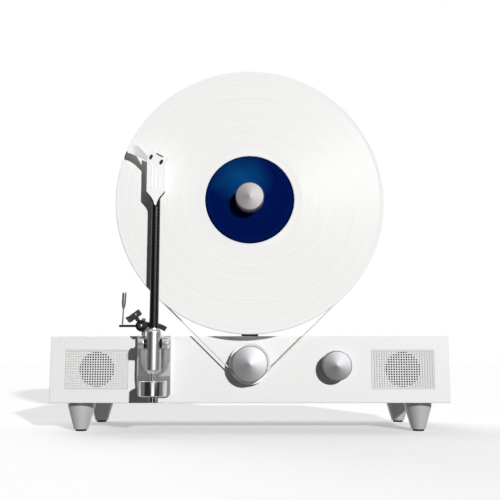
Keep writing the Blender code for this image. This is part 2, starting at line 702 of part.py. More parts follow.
def make_bearing():
    """The bearing housing clamped in the column's head, with its two ball races."""
    at = front_point(0, SPINDLE_HEIGHT)
    tail = -COLUMN_SETBACK - COLUMN_DEPTH - HOUSING_TAIL
    flange_back = -COLUMN_SETBACK + SEAT
    flange_front = flange_back + HOUSING_FLANGE_THICKNESS
    bore = BEARING_RADIUS + SEAT
    turned("bearing_housing",
           [(bore, HOUSING_FRONT), (HOUSING_NOSE, HOUSING_FRONT), (HOUSING_NOSE, flange_front),
            (HOUSING_FLANGE, flange_front), (HOUSING_FLANGE, flange_back),
            (HOUSING_RADIUS, flange_back), (HOUSING_RADIUS, tail), (bore, tail)],
           SATIN_ALUMINIUM, at, FRONT, ROUND_LARGE, ring=True)
    inner = SPINDLE_RADIUS + RUN
    for name, front in (("front_bearing", HOUSING_FRONT),
                        ("rear_bearing", tail + BEARING_LENGTH)):
        turned(name, [(inner, front), (BEARING_RADIUS, front),
                      (BEARING_RADIUS, front - BEARING_LENGTH),
                      (inner, front - BEARING_LENGTH)],
               PLAIN_STEEL, at, FRONT, ROUND_MEDIUM, ring=True)


def make_platter_group():
    """Everything that turns with the record, on the spindle's axis."""
    at = front_point(0, SPINDLE_HEIGHT)
    root = BELT_PLATTER_RADIUS - BELT_RADIUS - SEAT
    half = GROOVE_WIDTH / 2
    platter = turned("platter",
                     [(SPINDLE_RADIUS + SEAT, PLATTER_FRONT),
                      (PLATTER_RADIUS - PLATTER_EDGE, PLATTER_FRONT),
                      (PLATTER_RADIUS, PLATTER_FRONT - PLATTER_EDGE),
                      (PLATTER_RADIUS, BELT_REACH + half),
                      (root, BELT_REACH + half),
                      (root, BELT_REACH - half),
                      (PLATTER_RADIUS, BELT_REACH - half),
                      (PLATTER_RADIUS, PLATTER_BACK + PLATTER_EDGE),
                      (PLATTER_RADIUS - PLATTER_EDGE, PLATTER_BACK),
                      (SPINDLE_RADIUS + SEAT, PLATTER_BACK)],
                     WHITE_PLASTIC, at, FRONT, ROUND_RECORD, ring=True)
    hub_front = PLATTER_BACK - SEAT
    tail = -COLUMN_SETBACK - COLUMN_DEPTH - HOUSING_TAIL - RUN
    spindle = turned("spindle",
                     [(0, RECORD_REACH + SPINDLE_TIP_LENGTH),
                      (SPINDLE_TIP / 2, RECORD_REACH + SPINDLE_TIP_LENGTH),
                      (SPINDLE_TIP, RECORD_REACH + SPINDLE_TIP_LENGTH - SPINDLE_TIP / 2),
                      (SPINDLE_TIP, PLATTER_FRONT),
                      (SPINDLE_RADIUS, PLATTER_FRONT),
                      (SPINDLE_RADIUS, hub_front),
                      (HUB_RADIUS, hub_front),
                      (HUB_RADIUS, hub_front - HUB_THICKNESS),
                      (SPINDLE_RADIUS, hub_front - HUB_THICKNESS),
                      (SPINDLE_RADIUS, tail),
                      (SPINDLE_HEAD_RADIUS, tail),
                      (SPINDLE_HEAD_RADIUS, tail - SPINDLE_HEAD_LENGTH),
                      (0, tail - SPINDLE_HEAD_LENGTH)],
                     POLISHED_STEEL, at, FRONT, ROUND_MEDIUM)
    back = PLATTER_FRONT + SEAT
    play = RECORD_REACH - LABEL_THICKNESS
    record = turned("record",
                    [(SPINDLE_TIP + SEAT, play),
                     (LABEL_RADIUS, play),
                     (LABEL_RADIUS, RECORD_REACH),
                     (RECORD_RADIUS - RECORD_BEVEL, RECORD_REACH),
                     (RECORD_RADIUS, RECORD_REACH - RECORD_BEVEL),
                     (RECORD_RADIUS, back + RECORD_BEVEL),
                     (RECORD_RADIUS - RECORD_BEVEL, back),
                     (SPINDLE_TIP + SEAT, back)],
                    WHITE_VINYL, at, FRONT, ROUND_RECORD, ring=True)
    label = turned("record_label",
                   [(SPINDLE_TIP + SEAT, play + SEAT + LABEL_THICKNESS),
                    (LABEL_RADIUS - SEAT, play + SEAT + LABEL_THICKNESS),
                    (LABEL_RADIUS - SEAT, play + SEAT),
                    (SPINDLE_TIP + SEAT, play + SEAT)],
                   BLUE_PAPER, at, FRONT, ROUND_RECORD, ring=True)
    seat = play + 2 * SEAT + LABEL_THICKNESS
    rim = seat + CLAMP_HEIGHT
    clamp = turned("record_clamp",
                   [(0, rim + CLAMP_CONE),
                    (CLAMP_RADIUS - CLAMP_CHAMFER, rim + CLAMP_CHAMFER),
                    (CLAMP_RADIUS, rim),
                    (CLAMP_RADIUS, seat),
                    (SPINDLE_TIP + SEAT, seat),
                    (SPINDLE_TIP + SEAT, seat + SPINDLE_TIP_LENGTH + SEAT),
                    (0, seat + SPINDLE_TIP_LENGTH + SEAT)],
                   SPUN_ALUMINIUM, at, FRONT, ROUND_LARGE)
    axis_empty("platter_axis", at, (platter, spindle, record, label, clamp))


def make_drive():
    """Motor, pulley and its cap on the motor's axis, behind and before the front face."""
    at = front_point(0, PULLEY_HEIGHT)
    groove_back = BELT_REACH - PULLEY_GROOVE / 2
    groove_front = BELT_REACH + PULLEY_GROOVE / 2
    bore = SHAFT_RADIUS + SEAT
    pulley = turned("drive_pulley",
                    [(bore, groove_front),
                     (PULLEY_ROOT, groove_front),
                     (PULLEY_ROOT, groove_back),
                     (PULLEY_FLANGE, groove_back),
                     (PULLEY_FLANGE, groove_back - PULLEY_FLANGE_THICKNESS),
                     (bore, groove_back - PULLEY_FLANGE_THICKNESS)],
                    SPUN_ALUMINIUM, at, FRONT, ROUND_LARGE, ring=True)
    cap_back = groove_front + SEAT
    cap = turned("pulley_cap",
                 [(0, cap_back + CAP_THICKNESS + CAP_CONE),
                  (CAP_RADIUS, cap_back + CAP_THICKNESS),
                  (CAP_RADIUS, cap_back),
                  (0, cap_back)],
                 SPUN_ALUMINIUM, at, FRONT, ROUND_LARGE)
    socket = INNER_REACH - MOTOR_SOCKET
    shaft = turned("motor_shaft",
                   [(0, groove_front), (SHAFT_RADIUS, groove_front),
                    (SHAFT_RADIUS, socket + SEAT), (0, socket + SEAT)],
                   PLAIN_STEEL, at, FRONT, ROUND_TINY)
    motor = turned("drive_motor",
                   [(0, socket), (bore, socket), (bore, INNER_REACH),
                    (MOTOR_RADIUS, INNER_REACH), (MOTOR_RADIUS, INNER_REACH - MOTOR_LENGTH),
                    (0, INNER_REACH - MOTOR_LENGTH)],
                   PLAIN_STEEL, at, FRONT, ROUND_MEDIUM)
    for side in (-1, 1):
        lug = MOTOR_LUG_WIDTH / 2 - MOTOR_RADIUS * MOTOR_LUG_ROOT_SHARE
        join(motor, box(f"motor_lug_guide_{side}",
                        (lug, MOTOR_LUG_THICKNESS, MOTOR_LUG_HEIGHT), PLAIN_STEEL,
                        front_point(side * (MOTOR_LUG_WIDTH - lug) / 2, PULLEY_HEIGHT,
                                    INNER_REACH - MOTOR_LUG_THICKNESS / 2)))
    lug_back = INNER_REACH - MOTOR_LUG_THICKNESS
    for hand, side in HANDS:
        spot = front_point(side * MOTOR_SCREW_X, PULLEY_HEIGHT)
        cut(motor, peg(f"motor_screw_hole_cutter_{hand}",
                       [(MOTOR_SCREW_RADIUS + SEAT, lug_back - OVERRUN, INNER_REACH + OVERRUN)],
                       PLAIN_STEEL, spot))
        peg(f"motor_screw_{hand}",
            [(MOTOR_SCREW_RADIUS, lug_back - SEAT, lug_back + MOTOR_SCREW_LENGTH),
             (MOTOR_SCREW_HEAD, lug_back - SEAT - MOTOR_SCREW_HEAD_HEIGHT, lug_back - SEAT)],
            BLACK_METAL, spot)
    axis_empty("pulley_axis", at, (pulley, cap, shaft))
    make_belt()


def make_belt():
    """The round drive belt, along its real route over the platter's rim and the pulley."""
    distance = SPINDLE_HEIGHT - PULLEY_HEIGHT
    lean = asin((BELT_PLATTER_RADIUS - BELT_PULLEY_RADIUS) / distance)
    route = arc((0, SPINDLE_HEIGHT), BELT_PLATTER_RADIUS, -lean, pi + lean, BELT_PLATTER_STEPS)
    route += arc((0, PULLEY_HEIGHT), BELT_PULLEY_RADIUS, pi + lean, 2 * pi - lean,
                 BELT_PULLEY_STEPS)
    curve = bpy.data.curves.new("drive_belt", "CURVE")
    curve.dimensions = "3D"
    curve.bevel_depth = BELT_RADIUS
    curve.bevel_resolution = 1
    line = curve.splines.new("POLY")
    line.points.add(len(route) - 1)
    line.use_cyclic_u = True
    for point, (x, height) in zip(line.points, route):
        point.co = (x, height, 0, 1)
    belt = bpy.data.objects.new("drive_belt", curve)
    belt.location = front_point(0, 0, BELT_REACH)
    belt.rotation_euler = FRONT
    curve.materials.append(CLEAR_BELT)
    PARTS.objects.link(belt)


def make_volume_control():
    """The turned knob on its shaft, and the control behind the front."""
    at = front_point(KNOB_X, KNOB_HEIGHT)
    rim = KNOB_GAP + KNOB_LENGTH
    socket = POT_SHAFT_RADIUS + SEAT
    knob = turned("volume_knob",
                  [(0, rim + KNOB_CONE),
                   (KNOB_RADIUS - KNOB_CHAMFER, rim + KNOB_CHAMFER / 2),
                   (KNOB_RADIUS, rim - KNOB_CHAMFER / 2),
                   (KNOB_RADIUS, KNOB_GAP),
                   (socket, KNOB_GAP),
                   (socket, KNOB_GAP + KNOB_SOCKET),
                   (0, KNOB_GAP + KNOB_SOCKET)],
                  SPUN_ALUMINIUM, at, FRONT, ROUND_LARGE)
    inner = INNER_REACH - POT_SHAFT_DEPTH
    shaft = turned("volume_shaft",
                   [(0, KNOB_GAP + KNOB_SOCKET - SEAT),
                    (POT_SHAFT_RADIUS, KNOB_GAP + KNOB_SOCKET - SEAT),
                    (POT_SHAFT_RADIUS, inner + SEAT), (0, inner + SEAT)],
                   PLAIN_STEEL, at, FRONT, ROUND_SMALL)
    turned("volume_control",
           [(0, inner), (socket, inner), (socket, 0),
            (POT_BUSH_RADIUS, 0), (POT_BUSH_RADIUS, INNER_REACH),
            (POT_RADIUS, INNER_REACH), (POT_RADIUS, INNER_REACH - POT_LENGTH),
            (0, INNER_REACH - POT_LENGTH)],
           BLACK_PLASTIC, at, FRONT, ROUND_SMALL)
    axis_empty("volume_axis", at, (knob, shaft))


def make_electronics():
    """The amplifier board on its bracket, and the fittings of the rear panel."""
    floor = INNER_BOTTOM + SEAT
    box("amplifier_board", (BOARD_WIDTH, BOARD_DEPTH, BOARD_THICKNESS), GREEN_BOARD,
        front_point(BOARD_X, floor + BOARD_LIFT + SEAT + BOARD_THICKNESS / 2, BOARD_REACH))
    bracket = box("board_bracket", (BOARD_WIDTH, BOARD_DEPTH, BRACKET_THICKNESS),
                  SATIN_ALUMINIUM,
                  front_point(BOARD_X, floor + BRACKET_THICKNESS / 2, BOARD_REACH))
    for hand, side in HANDS:
        join(bracket, box(f"bracket_side_guide_{hand}",
                          (BRACKET_THICKNESS, BOARD_DEPTH, BOARD_LIFT), SATIN_ALUMINIUM,
                          front_point(BOARD_X + side * (BOARD_WIDTH - BRACKET_THICKNESS) / 2,
                                      floor + BOARD_LIFT / 2, BOARD_REACH)))
    turned("power_inlet",
           [(0, -INLET_HOLE_DEPTH), (INLET_HOLE, -INLET_HOLE_DEPTH),
            (INLET_HOLE, SEAT + INLET_FLANGE_THICKNESS),
            (INLET_FLANGE, SEAT + INLET_FLANGE_THICKNESS), (INLET_FLANGE, SEAT),
            (INLET_RADIUS, SEAT), (INLET_RADIUS, -INLET_LENGTH), (0, -INLET_LENGTH)],
           BLACK_PLASTIC, (INLET_X, BACK_Y, BASE_MIDDLE), BACK, ROUND_SMALL)
    rim_back = BACK_Y + SEAT + SWITCH_RIM_THICKNESS
    frame_depth = SWITCH_DEPTH + SWITCH_RIM_THICKNESS
    frame = box("switch_frame", (SWITCH_WIDTH, frame_depth, SWITCH_HEIGHT), BLACK_PLASTIC,
                (SWITCH_X, rim_back - frame_depth / 2, BASE_MIDDLE))
    join(frame, box("switch_rim_guide",
                    (SWITCH_WIDTH + 2 * SWITCH_RIM, SWITCH_RIM_THICKNESS,
                     SWITCH_HEIGHT + 2 * SWITCH_RIM), BLACK_PLASTIC,
                    (SWITCH_X, rim_back - SWITCH_RIM_THICKNESS / 2, BASE_MIDDLE)))
    well_depth = frame_depth - SWITCH_WALL
    cut(frame, box("switch_well_cutter",
                   (SWITCH_WIDTH - 2 * SWITCH_WALL, well_depth + OVERRUN,
                    SWITCH_HEIGHT - 2 * SWITCH_WALL), BLACK_PLASTIC,
                   (SWITCH_X, rim_back + OVERRUN - (well_depth + OVERRUN) / 2, BASE_MIDDLE)))
    rocker_width = SWITCH_WIDTH - 2 * SWITCH_WALL - 2 * RUN
    rocker = box("power_rocker", (rocker_width, ROCKER_THICKNESS, ROCKER_HEIGHT), BLACK_PLASTIC,
                 (SWITCH_X, BACK_Y, BASE_MIDDLE), (ROCKER_ANGLE, 0, 0))
    axis_empty("rocker_axis", (SWITCH_X, BACK_Y, BASE_MIDDLE), (rocker,))


def make_armboard():
    """The tonearm's mounting block on the front face, thinner towards its lower end."""
    low = -ARMBOARD_HEIGHT
    corner = ARMBOARD_CORNER
    half = ARMBOARD_HALF_WIDTH
    outline = [(half, 0), (-half, 0)]
    outline += arc((-half + corner, low + corner), corner, pi, 3 * pi / 2, CORNER_STEPS)
    outline += arc((half - corner, low + corner), corner, 3 * pi / 2, 2 * pi, CORNER_STEPS)
    at = front_point(ARMBOARD_X, BASE_TOP, SEAT)
    board = slab("armboard", outline, ARMBOARD_THICKNESS, SATIN_ALUMINIUM, at)
    wedge_length = ARMBOARD_TAPER_HEIGHT + OVERRUN
    lean = atan2(ARMBOARD_TAPER, ARMBOARD_TAPER_HEIGHT)
    wedge = box("armboard_taper_cutter",
                (2 * half + 2 * OVERRUN, ARMBOARD_THICKNESS, 2 * wedge_length),
                SATIN_ALUMINIUM,
                front_point(ARMBOARD_X, BASE_TOP + low + ARMBOARD_TAPER_HEIGHT, ARMBOARD_FRONT),
                (lean, 0, 0))
    bmesh_shift(wedge, (0, -ARMBOARD_THICKNESS / 2, -wedge_length))
    cut(board, wedge)
    bore = SWING_BEARING_RADIUS + SEAT
    cut(board, turned("armboard_bore_cutter",
                      [(0, ARMBOARD_FRONT + OVERRUN), (bore, ARMBOARD_FRONT + OVERRUN),
                       (bore, -OVERRUN), (0, -OVERRUN)],
                      SATIN_ALUMINIUM, front_point(ARM_X, ARM_HEIGHT), FRONT, ROUND_MEDIUM))
    taper_share = (ARMBOARD_BOLT_RISE + ARMBOARD_BOLT_HEAD) / ARMBOARD_TAPER_HEIGHT
    seat = ARMBOARD_FRONT - ARMBOARD_TAPER * (1 - taper_share) + SEAT
    for hand, side in HANDS:
        spot = front_point(ARMBOARD_X + side * ARMBOARD_BOLT_X, ARMBOARD_BOLT_HEIGHT)
        cut(board, peg(f"armboard_bolt_hole_cutter_{hand}",
                       [(ARMBOARD_BOLT_RADIUS + SEAT, -OVERRUN, ARMBOARD_FRONT + OVERRUN)],
                       SATIN_ALUMINIUM, spot))
        peg(f"armboard_bolt_{hand}",
            [(ARMBOARD_BOLT_HEAD, seat, seat + ARMBOARD_BOLT_HEAD_HEIGHT),
             (ARMBOARD_BOLT_RADIUS, INNER_REACH + SEAT, seat)],
            PLAIN_STEEL, spot)
    flange_back = ARMBOARD_FRONT + SEAT
    turned("swing_bearing",
           [(AXLE_RADIUS + RUN, flange_back + SWING_BEARING_FLANGE_THICKNESS),
            (SWING_BEARING_FLANGE, flange_back + SWING_BEARING_FLANGE_THICKNESS),
            (SWING_BEARING_FLANGE, flange_back),
            (SWING_BEARING_RADIUS, flange_back),
            (SWING_BEARING_RADIUS, 2 * SEAT),
            (AXLE_RADIUS + RUN, 2 * SEAT)],
           PLAIN_STEEL, front_point(ARM_X, ARM_HEIGHT), FRONT, ROUND_MEDIUM, ring=True)


def bmesh_shift(piece, offset):
    """Moves a piece's mesh under its own origin."""
    shape = bmesh.new()
    shape.from_mesh(piece.data)
    bmesh.ops.translate(shape, vec=offset, verts=shape.verts)
    shape.to_mesh(piece.data)
    shape.free()


def make_yoke():
    """The gimbal fork: it swings on its axle and carries the arm between its two bosses."""
    at = front_point(ARM_X, ARM_HEIGHT)
    half = YOKE_HALF_WIDTH
    outline = [(half, YOKE_TOP), (-half, YOKE_TOP)]
    outline += arc((0, -YOKE_DROP), half, pi, 2 * pi, YOKE_ARC_STEPS)
    yoke = slab("yoke", outline, YOKE_THICKNESS, SATIN_ALUMINIUM,
                front_point(ARM_X, ARM_HEIGHT, YOKE_BACK))
    arm_length = ARM_REACH - YOKE_FRONT + YOKE_THICKNESS / 2
    for side in (-1, 1):
        width = YOKE_ARM_OUTER - YOKE_ARM_INNER
        middle = side * (YOKE_ARM_INNER + YOKE_ARM_OUTER) / 2
        boss_width = BOSS_OUTER - BOSS_INNER
        boss_middle = side * (BOSS_INNER + BOSS_OUTER) / 2
        join(yoke,
             box(f"yoke_arm_guide_{side}", (width, arm_length, YOKE_ARM_HEIGHT), SATIN_ALUMINIUM,
                 front_point(ARM_X + middle, ARM_HEIGHT, ARM_REACH - arm_length / 2)),
             turned(f"yoke_boss_guide_{side}",
                    [(0, boss_width / 2), (BOSS_RADIUS, boss_width / 2),
                     (BOSS_RADIUS, -boss_width / 2), (0, -boss_width / 2)],
                    SATIN_ALUMINIUM, front_point(ARM_X + boss_middle, ARM_HEIGHT, ARM_REACH),
                    RIGHT, ROUND_MEDIUM))
    join(yoke, turned("yoke_axle_guide",
                      [(0, YOKE_FRONT + AXLE_HEAD_LENGTH),
                       (AXLE_HEAD_RADIUS, YOKE_FRONT + AXLE_HEAD_LENGTH),
                       (AXLE_HEAD_RADIUS, YOKE_FRONT - OVERRUN),
                       (AXLE_RADIUS, YOKE_FRONT - OVERRUN),
                       (AXLE_RADIUS, 3 * SEAT), (0, 3 * SEAT)],
                      SATIN_ALUMINIUM, at, FRONT, ROUND_MEDIUM))
    cut(yoke, cross_hole("yoke_screw_hole_cutter", PIVOT_SCREW_RADIUS + SEAT,
                         BOSS_OUTER + OVERRUN))
    screws = []
    for hand, side in HANDS:
        screws.append(peg(f"pivot_screw_{hand}",
                          [(PIVOT_SCREW_RADIUS, PIVOT_NUT_FACE, PIVOT_SCREW_END),
                           (PIVOT_NUT_RADIUS, PIVOT_NUT_FACE - PIVOT_NUT_THICKNESS,
                            PIVOT_NUT_FACE),
                           (PIVOT_PIN_RADIUS, PIVOT_TIP,
                            PIVOT_NUT_FACE - PIVOT_NUT_THICKNESS)],
                          POLISHED_STEEL, front_point(ARM_X, ARM_HEIGHT, ARM_REACH),
                          (0, side * pi / 2, 0), ROUND_SMALL))
    axis_empty("swing_axis", at, [yoke, *screws, make_arm()])


def cross_hole(name, radius, half_length):
    """A cutter along the gimbal's cross axis."""
    return turned(name, [(0, half_length), (radius, half_length), (radius, -half_length),
                         (0, -half_length)],
                  PLAIN_STEEL, front_point(ARM_X, ARM_HEIGHT, ARM_REACH), RIGHT, ROUND_SMALL)


def make_arm():
    """Sleeve, tube, rod, counterweight and end cap on the arm's own centre line."""
    at = front_point(ARM_X, ARM_HEIGHT, ARM_REACH)
    tube_hole = TUBE_RADIUS + SEAT
    rod_hole = ROD_RADIUS + SEAT
    tube_foot = SLEEVE_TOP + COLLAR_HEIGHT - TUBE_SOCKET
    rod_top = -SLEEVE_BOTTOM - SLEEVE_TAPER + ROD_SOCKET
    sleeve = turned("arm_sleeve",
                    [(0, tube_foot), (tube_hole, tube_foot),
                     (tube_hole, SLEEVE_TOP + COLLAR_HEIGHT),
                     (COLLAR_RADIUS, SLEEVE_TOP + COLLAR_HEIGHT),
                     (COLLAR_RADIUS, SLEEVE_TOP), (SLEEVE_RADIUS, SLEEVE_TOP),
                     (SLEEVE_RADIUS, -SLEEVE_BOTTOM),
                     (SLEEVE_TIP_RADIUS, -SLEEVE_BOTTOM - SLEEVE_TAPER),
                     (rod_hole, -SLEEVE_BOTTOM - SLEEVE_TAPER),
                     (rod_hole, rod_top), (0, rod_top)],
                    SATIN_ALUMINIUM, at, UP, ROUND_MEDIUM)
    cut(sleeve, cross_hole("sleeve_pivot_cutter", PIVOT_PIN_RADIUS + SEAT,
                           SLEEVE_RADIUS + OVERRUN))
    tube_top = SHELL_SHOULDER + SHELL_SOCKET_LENGTH / 2
    tube_low = tube_foot + SEAT
    tube = turned("arm_tube",
                  [(TUBE_TIP_RADIUS - TUBE_WALL, tube_top), (TUBE_TIP_RADIUS, tube_top),
                   (TUBE_RADIUS, tube_low), (TUBE_RADIUS - TUBE_WALL, tube_low)],
                  CARBON_FIBRE, at, UP, ROUND_MEDIUM, ring=True)
    weight_top = -SLEEVE_BOTTOM - SLEEVE_TAPER - WEIGHT_GAP
    weight_low = weight_top - WEIGHT_HEIGHT
    cap_top = weight_low - SEAT
    rod = turned("counterweight_rod",
                 [(0, rod_top - SEAT), (ROD_RADIUS, rod_top - SEAT),
                  (ROD_RADIUS, cap_top - END_CAP_SOCKET + SEAT),
                  (0, cap_top - END_CAP_SOCKET + SEAT)],
                 POLISHED_STEEL, at, UP, ROUND_SMALL)
    weight = turned("counterweight",
                    [(rod_hole, weight_top),
                     (WEIGHT_RADIUS - WEIGHT_CHAMFER, weight_top),
                     (WEIGHT_RADIUS, weight_top - WEIGHT_CHAMFER),
                     (WEIGHT_RADIUS, weight_low + WEIGHT_CHAMFER),
                     (WEIGHT_RADIUS - WEIGHT_CHAMFER, weight_low),
                     (rod_hole, weight_low)],
                    POLISHED_ALUMINIUM, at, UP, ROUND_LARGE, ring=True)
    end_cap = turned("rod_end_cap",
                     [(0, cap_top - END_CAP_SOCKET), (rod_hole, cap_top - END_CAP_SOCKET),
                      (rod_hole, cap_top), (END_CAP_RADIUS, cap_top),
                      (END_CAP_RADIUS, cap_top - END_CAP_HEIGHT),
                      (0, cap_top - END_CAP_HEIGHT)],
                     BLACK_METAL, at, UP, ROUND_SMALL)
    return axis_empty("gimbal_axis", at,
                      [sleeve, tube, rod, weight, end_cap] + make_headshell(tube_top))


def shell_frame_point(across, along):
    """A point of the cartridge's own frame, turned by the offset angle, from the pivot."""
    tilt = OFFSET_ANGLE
    return (across * cos(tilt) + along * sin(tilt),
            SHELL_SCREW_DISTANCE - across * sin(tilt) + along * cos(tilt))


def make_headshell(tube_top):
    """The white headshell with its finger lift, and the cartridge under it."""
    back = ARM_REACH + TUBE_TIP_RADIUS + 2 * SEAT
    half = SHELL_HALF_WIDTH
    nose_left = shell_frame_point(-half, SHELL_FRONT_MARGIN)
    nose_right = shell_frame_point(half, SHELL_FRONT_MARGIN)
    root_low = shell_frame_point(-half, 0)[1] - FINGER_BACK
    root_top = root_low + FINGER_ROOT
    rise = FINGER_RISE + FINGER_ROOT - FINGER_TIP
    outline = [nose_right, (-half, nose_left[1]), (-half, root_top)]
    outline += [(-half - FINGER_LENGTH * out, root_top + FINGER_RISE * up)
                for out, up in FINGER_UPPER_SHARES]
    outline += [(-half - FINGER_LENGTH, root_top + FINGER_RISE),
                (-half - FINGER_LENGTH, root_top + FINGER_RISE - FINGER_TIP)]
    outline += [(-half - FINGER_LENGTH * out, root_low + rise * up)
                for out, up in FINGER_LOWER_SHARES]
    waist, drop = SHELL_TAIL_WAIST_SHARES
    waist_height = SHELL_SHOULDER - (SHELL_SHOULDER - SHELL_TAIL) * drop
    outline += [(-half, root_low), (-half, SHELL_SHOULDER), (-half * waist, waist_height),
                (-SHELL_TAIL_WIDTH, SHELL_TAIL), (SHELL_TAIL_WIDTH, SHELL_TAIL),
                (half * waist, waist_height), (half, SHELL_SHOULDER),
                (nose_right[0], nose_right[1] - SHELL_NOSE_SIDE)]
    shell = slab("headshell", outline, SHELL_THICKNESS, WHITE_PLASTIC,
                 front_point(ARM_X, ARM_HEIGHT, back))
    socket = turned("shell_socket_guide",
                    [(0, SHELL_SOCKET_LENGTH), (SHELL_SOCKET_RADIUS, SHELL_SOCKET_LENGTH),
                     (SHELL_SOCKET_RADIUS, 0), (0, 0)],
                    WHITE_PLASTIC,
                    front_point(ARM_X, ARM_HEIGHT + SHELL_SHOULDER, ARM_REACH), UP, ROUND_SMALL)
    join(shell, socket)
    bore = TUBE_TIP_RADIUS + SEAT
    cut(shell, turned("shell_bore_cutter",
                      [(0, tube_top + SEAT), (bore, tube_top + SEAT), (bore, SHELL_TAIL - OVERRUN),
                       (0, SHELL_TAIL - OVERRUN)],
                      WHITE_PLASTIC, front_point(ARM_X, ARM_HEIGHT, ARM_REACH), UP, ROUND_SMALL))
    screws = [shell_frame_point(side * SLOT_SPACING / 2, 0) for side in (-1, 1)]
    for number, (x, rise) in enumerate(screws):
        straight = SLOT_LENGTH / 2 - SLOT_RADIUS
        slot = arc((0, straight), SLOT_RADIUS, 0, pi, CORNER_STEPS)
        slot += arc((0, -straight), SLOT_RADIUS, pi, 2 * pi, CORNER_STEPS)
        cut(shell, slab(f"slot_cutter_{number}", slot, SHELL_THICKNESS + 2 * OVERRUN,
                        WHITE_PLASTIC,
                        front_point(ARM_X + x, ARM_HEIGHT + rise, back - OVERRUN),
                        (pi / 2, OFFSET_ANGLE, 0)))
    shell_front = back + SHELL_THICKNESS
    body_front = back - SEAT
    middle = shell_frame_point(0, SHELL_FRONT_MARGIN + CARTRIDGE_OVERHANG - CARTRIDGE_LENGTH / 2)
    cartridge = box("cartridge", (CARTRIDGE_WIDTH, CARTRIDGE_BODY, CARTRIDGE_LENGTH),
                    WHITE_PLASTIC,
                    front_point(ARM_X + middle[0], ARM_HEIGHT + middle[1],
                                body_front - CARTRIDGE_BODY / 2),
                    (0, OFFSET_ANGLE, 0), edge=CARTRIDGE_EDGE)
    bolts = []
    for (hand, _), (x, rise) in zip(HANDS, screws):
        spot = front_point(ARM_X + x, ARM_HEIGHT + rise)
        cut(cartridge, peg(f"cartridge_screw_hole_cutter_{hand}",
                           [(CARTRIDGE_SCREW_RADIUS + SEAT, body_front - CARTRIDGE_BODY / 2,
                             body_front + OVERRUN)], WHITE_PLASTIC, spot))
        bolts.append(peg(f"cartridge_screw_{hand}",
                         [(CARTRIDGE_SCREW_HEAD, shell_front - SHELL_THICKNESS / 2,
                           shell_front - SEAT),
                          (CARTRIDGE_SCREW_RADIUS, body_front - CARTRIDGE_BODY / 2 + SEAT,
                           shell_front - SHELL_THICKNESS / 2)],
                         POLISHED_STEEL, spot))
    stylus_front = body_front - CARTRIDGE_BODY - SEAT
    tip = shell_frame_point(0, STYLUS_AHEAD)
    holder = shell_frame_point(0, STYLUS_AHEAD - STYLUS_LENGTH / 2 + STYLUS_TIP_SIZE)
    stylus = box("stylus", (STYLUS_WIDTH, STYLUS_BODY, STYLUS_LENGTH), BLACK_PLASTIC,
                 front_point(ARM_X + holder[0], ARM_HEIGHT + holder[1],
                             stylus_front - STYLUS_BODY / 2), (0, OFFSET_ANGLE, 0))
    tip_reach = stylus_front - STYLUS_BODY - RECORD_REACH - RUN
    join(stylus, box("stylus_tip_guide",
                     (STYLUS_TIP_SIZE, tip_reach + STYLUS_BODY / 2, STYLUS_TIP_SIZE),
                     BLACK_PLASTIC,
                     front_point(ARM_X + tip[0], ARM_HEIGHT + tip[1],
                                 RECORD_REACH + RUN + (tip_reach + STYLUS_BODY / 2) / 2),
                     (0, OFFSET_ANGLE, 0)))
    return [shell, cartridge, *bolts, stylus]


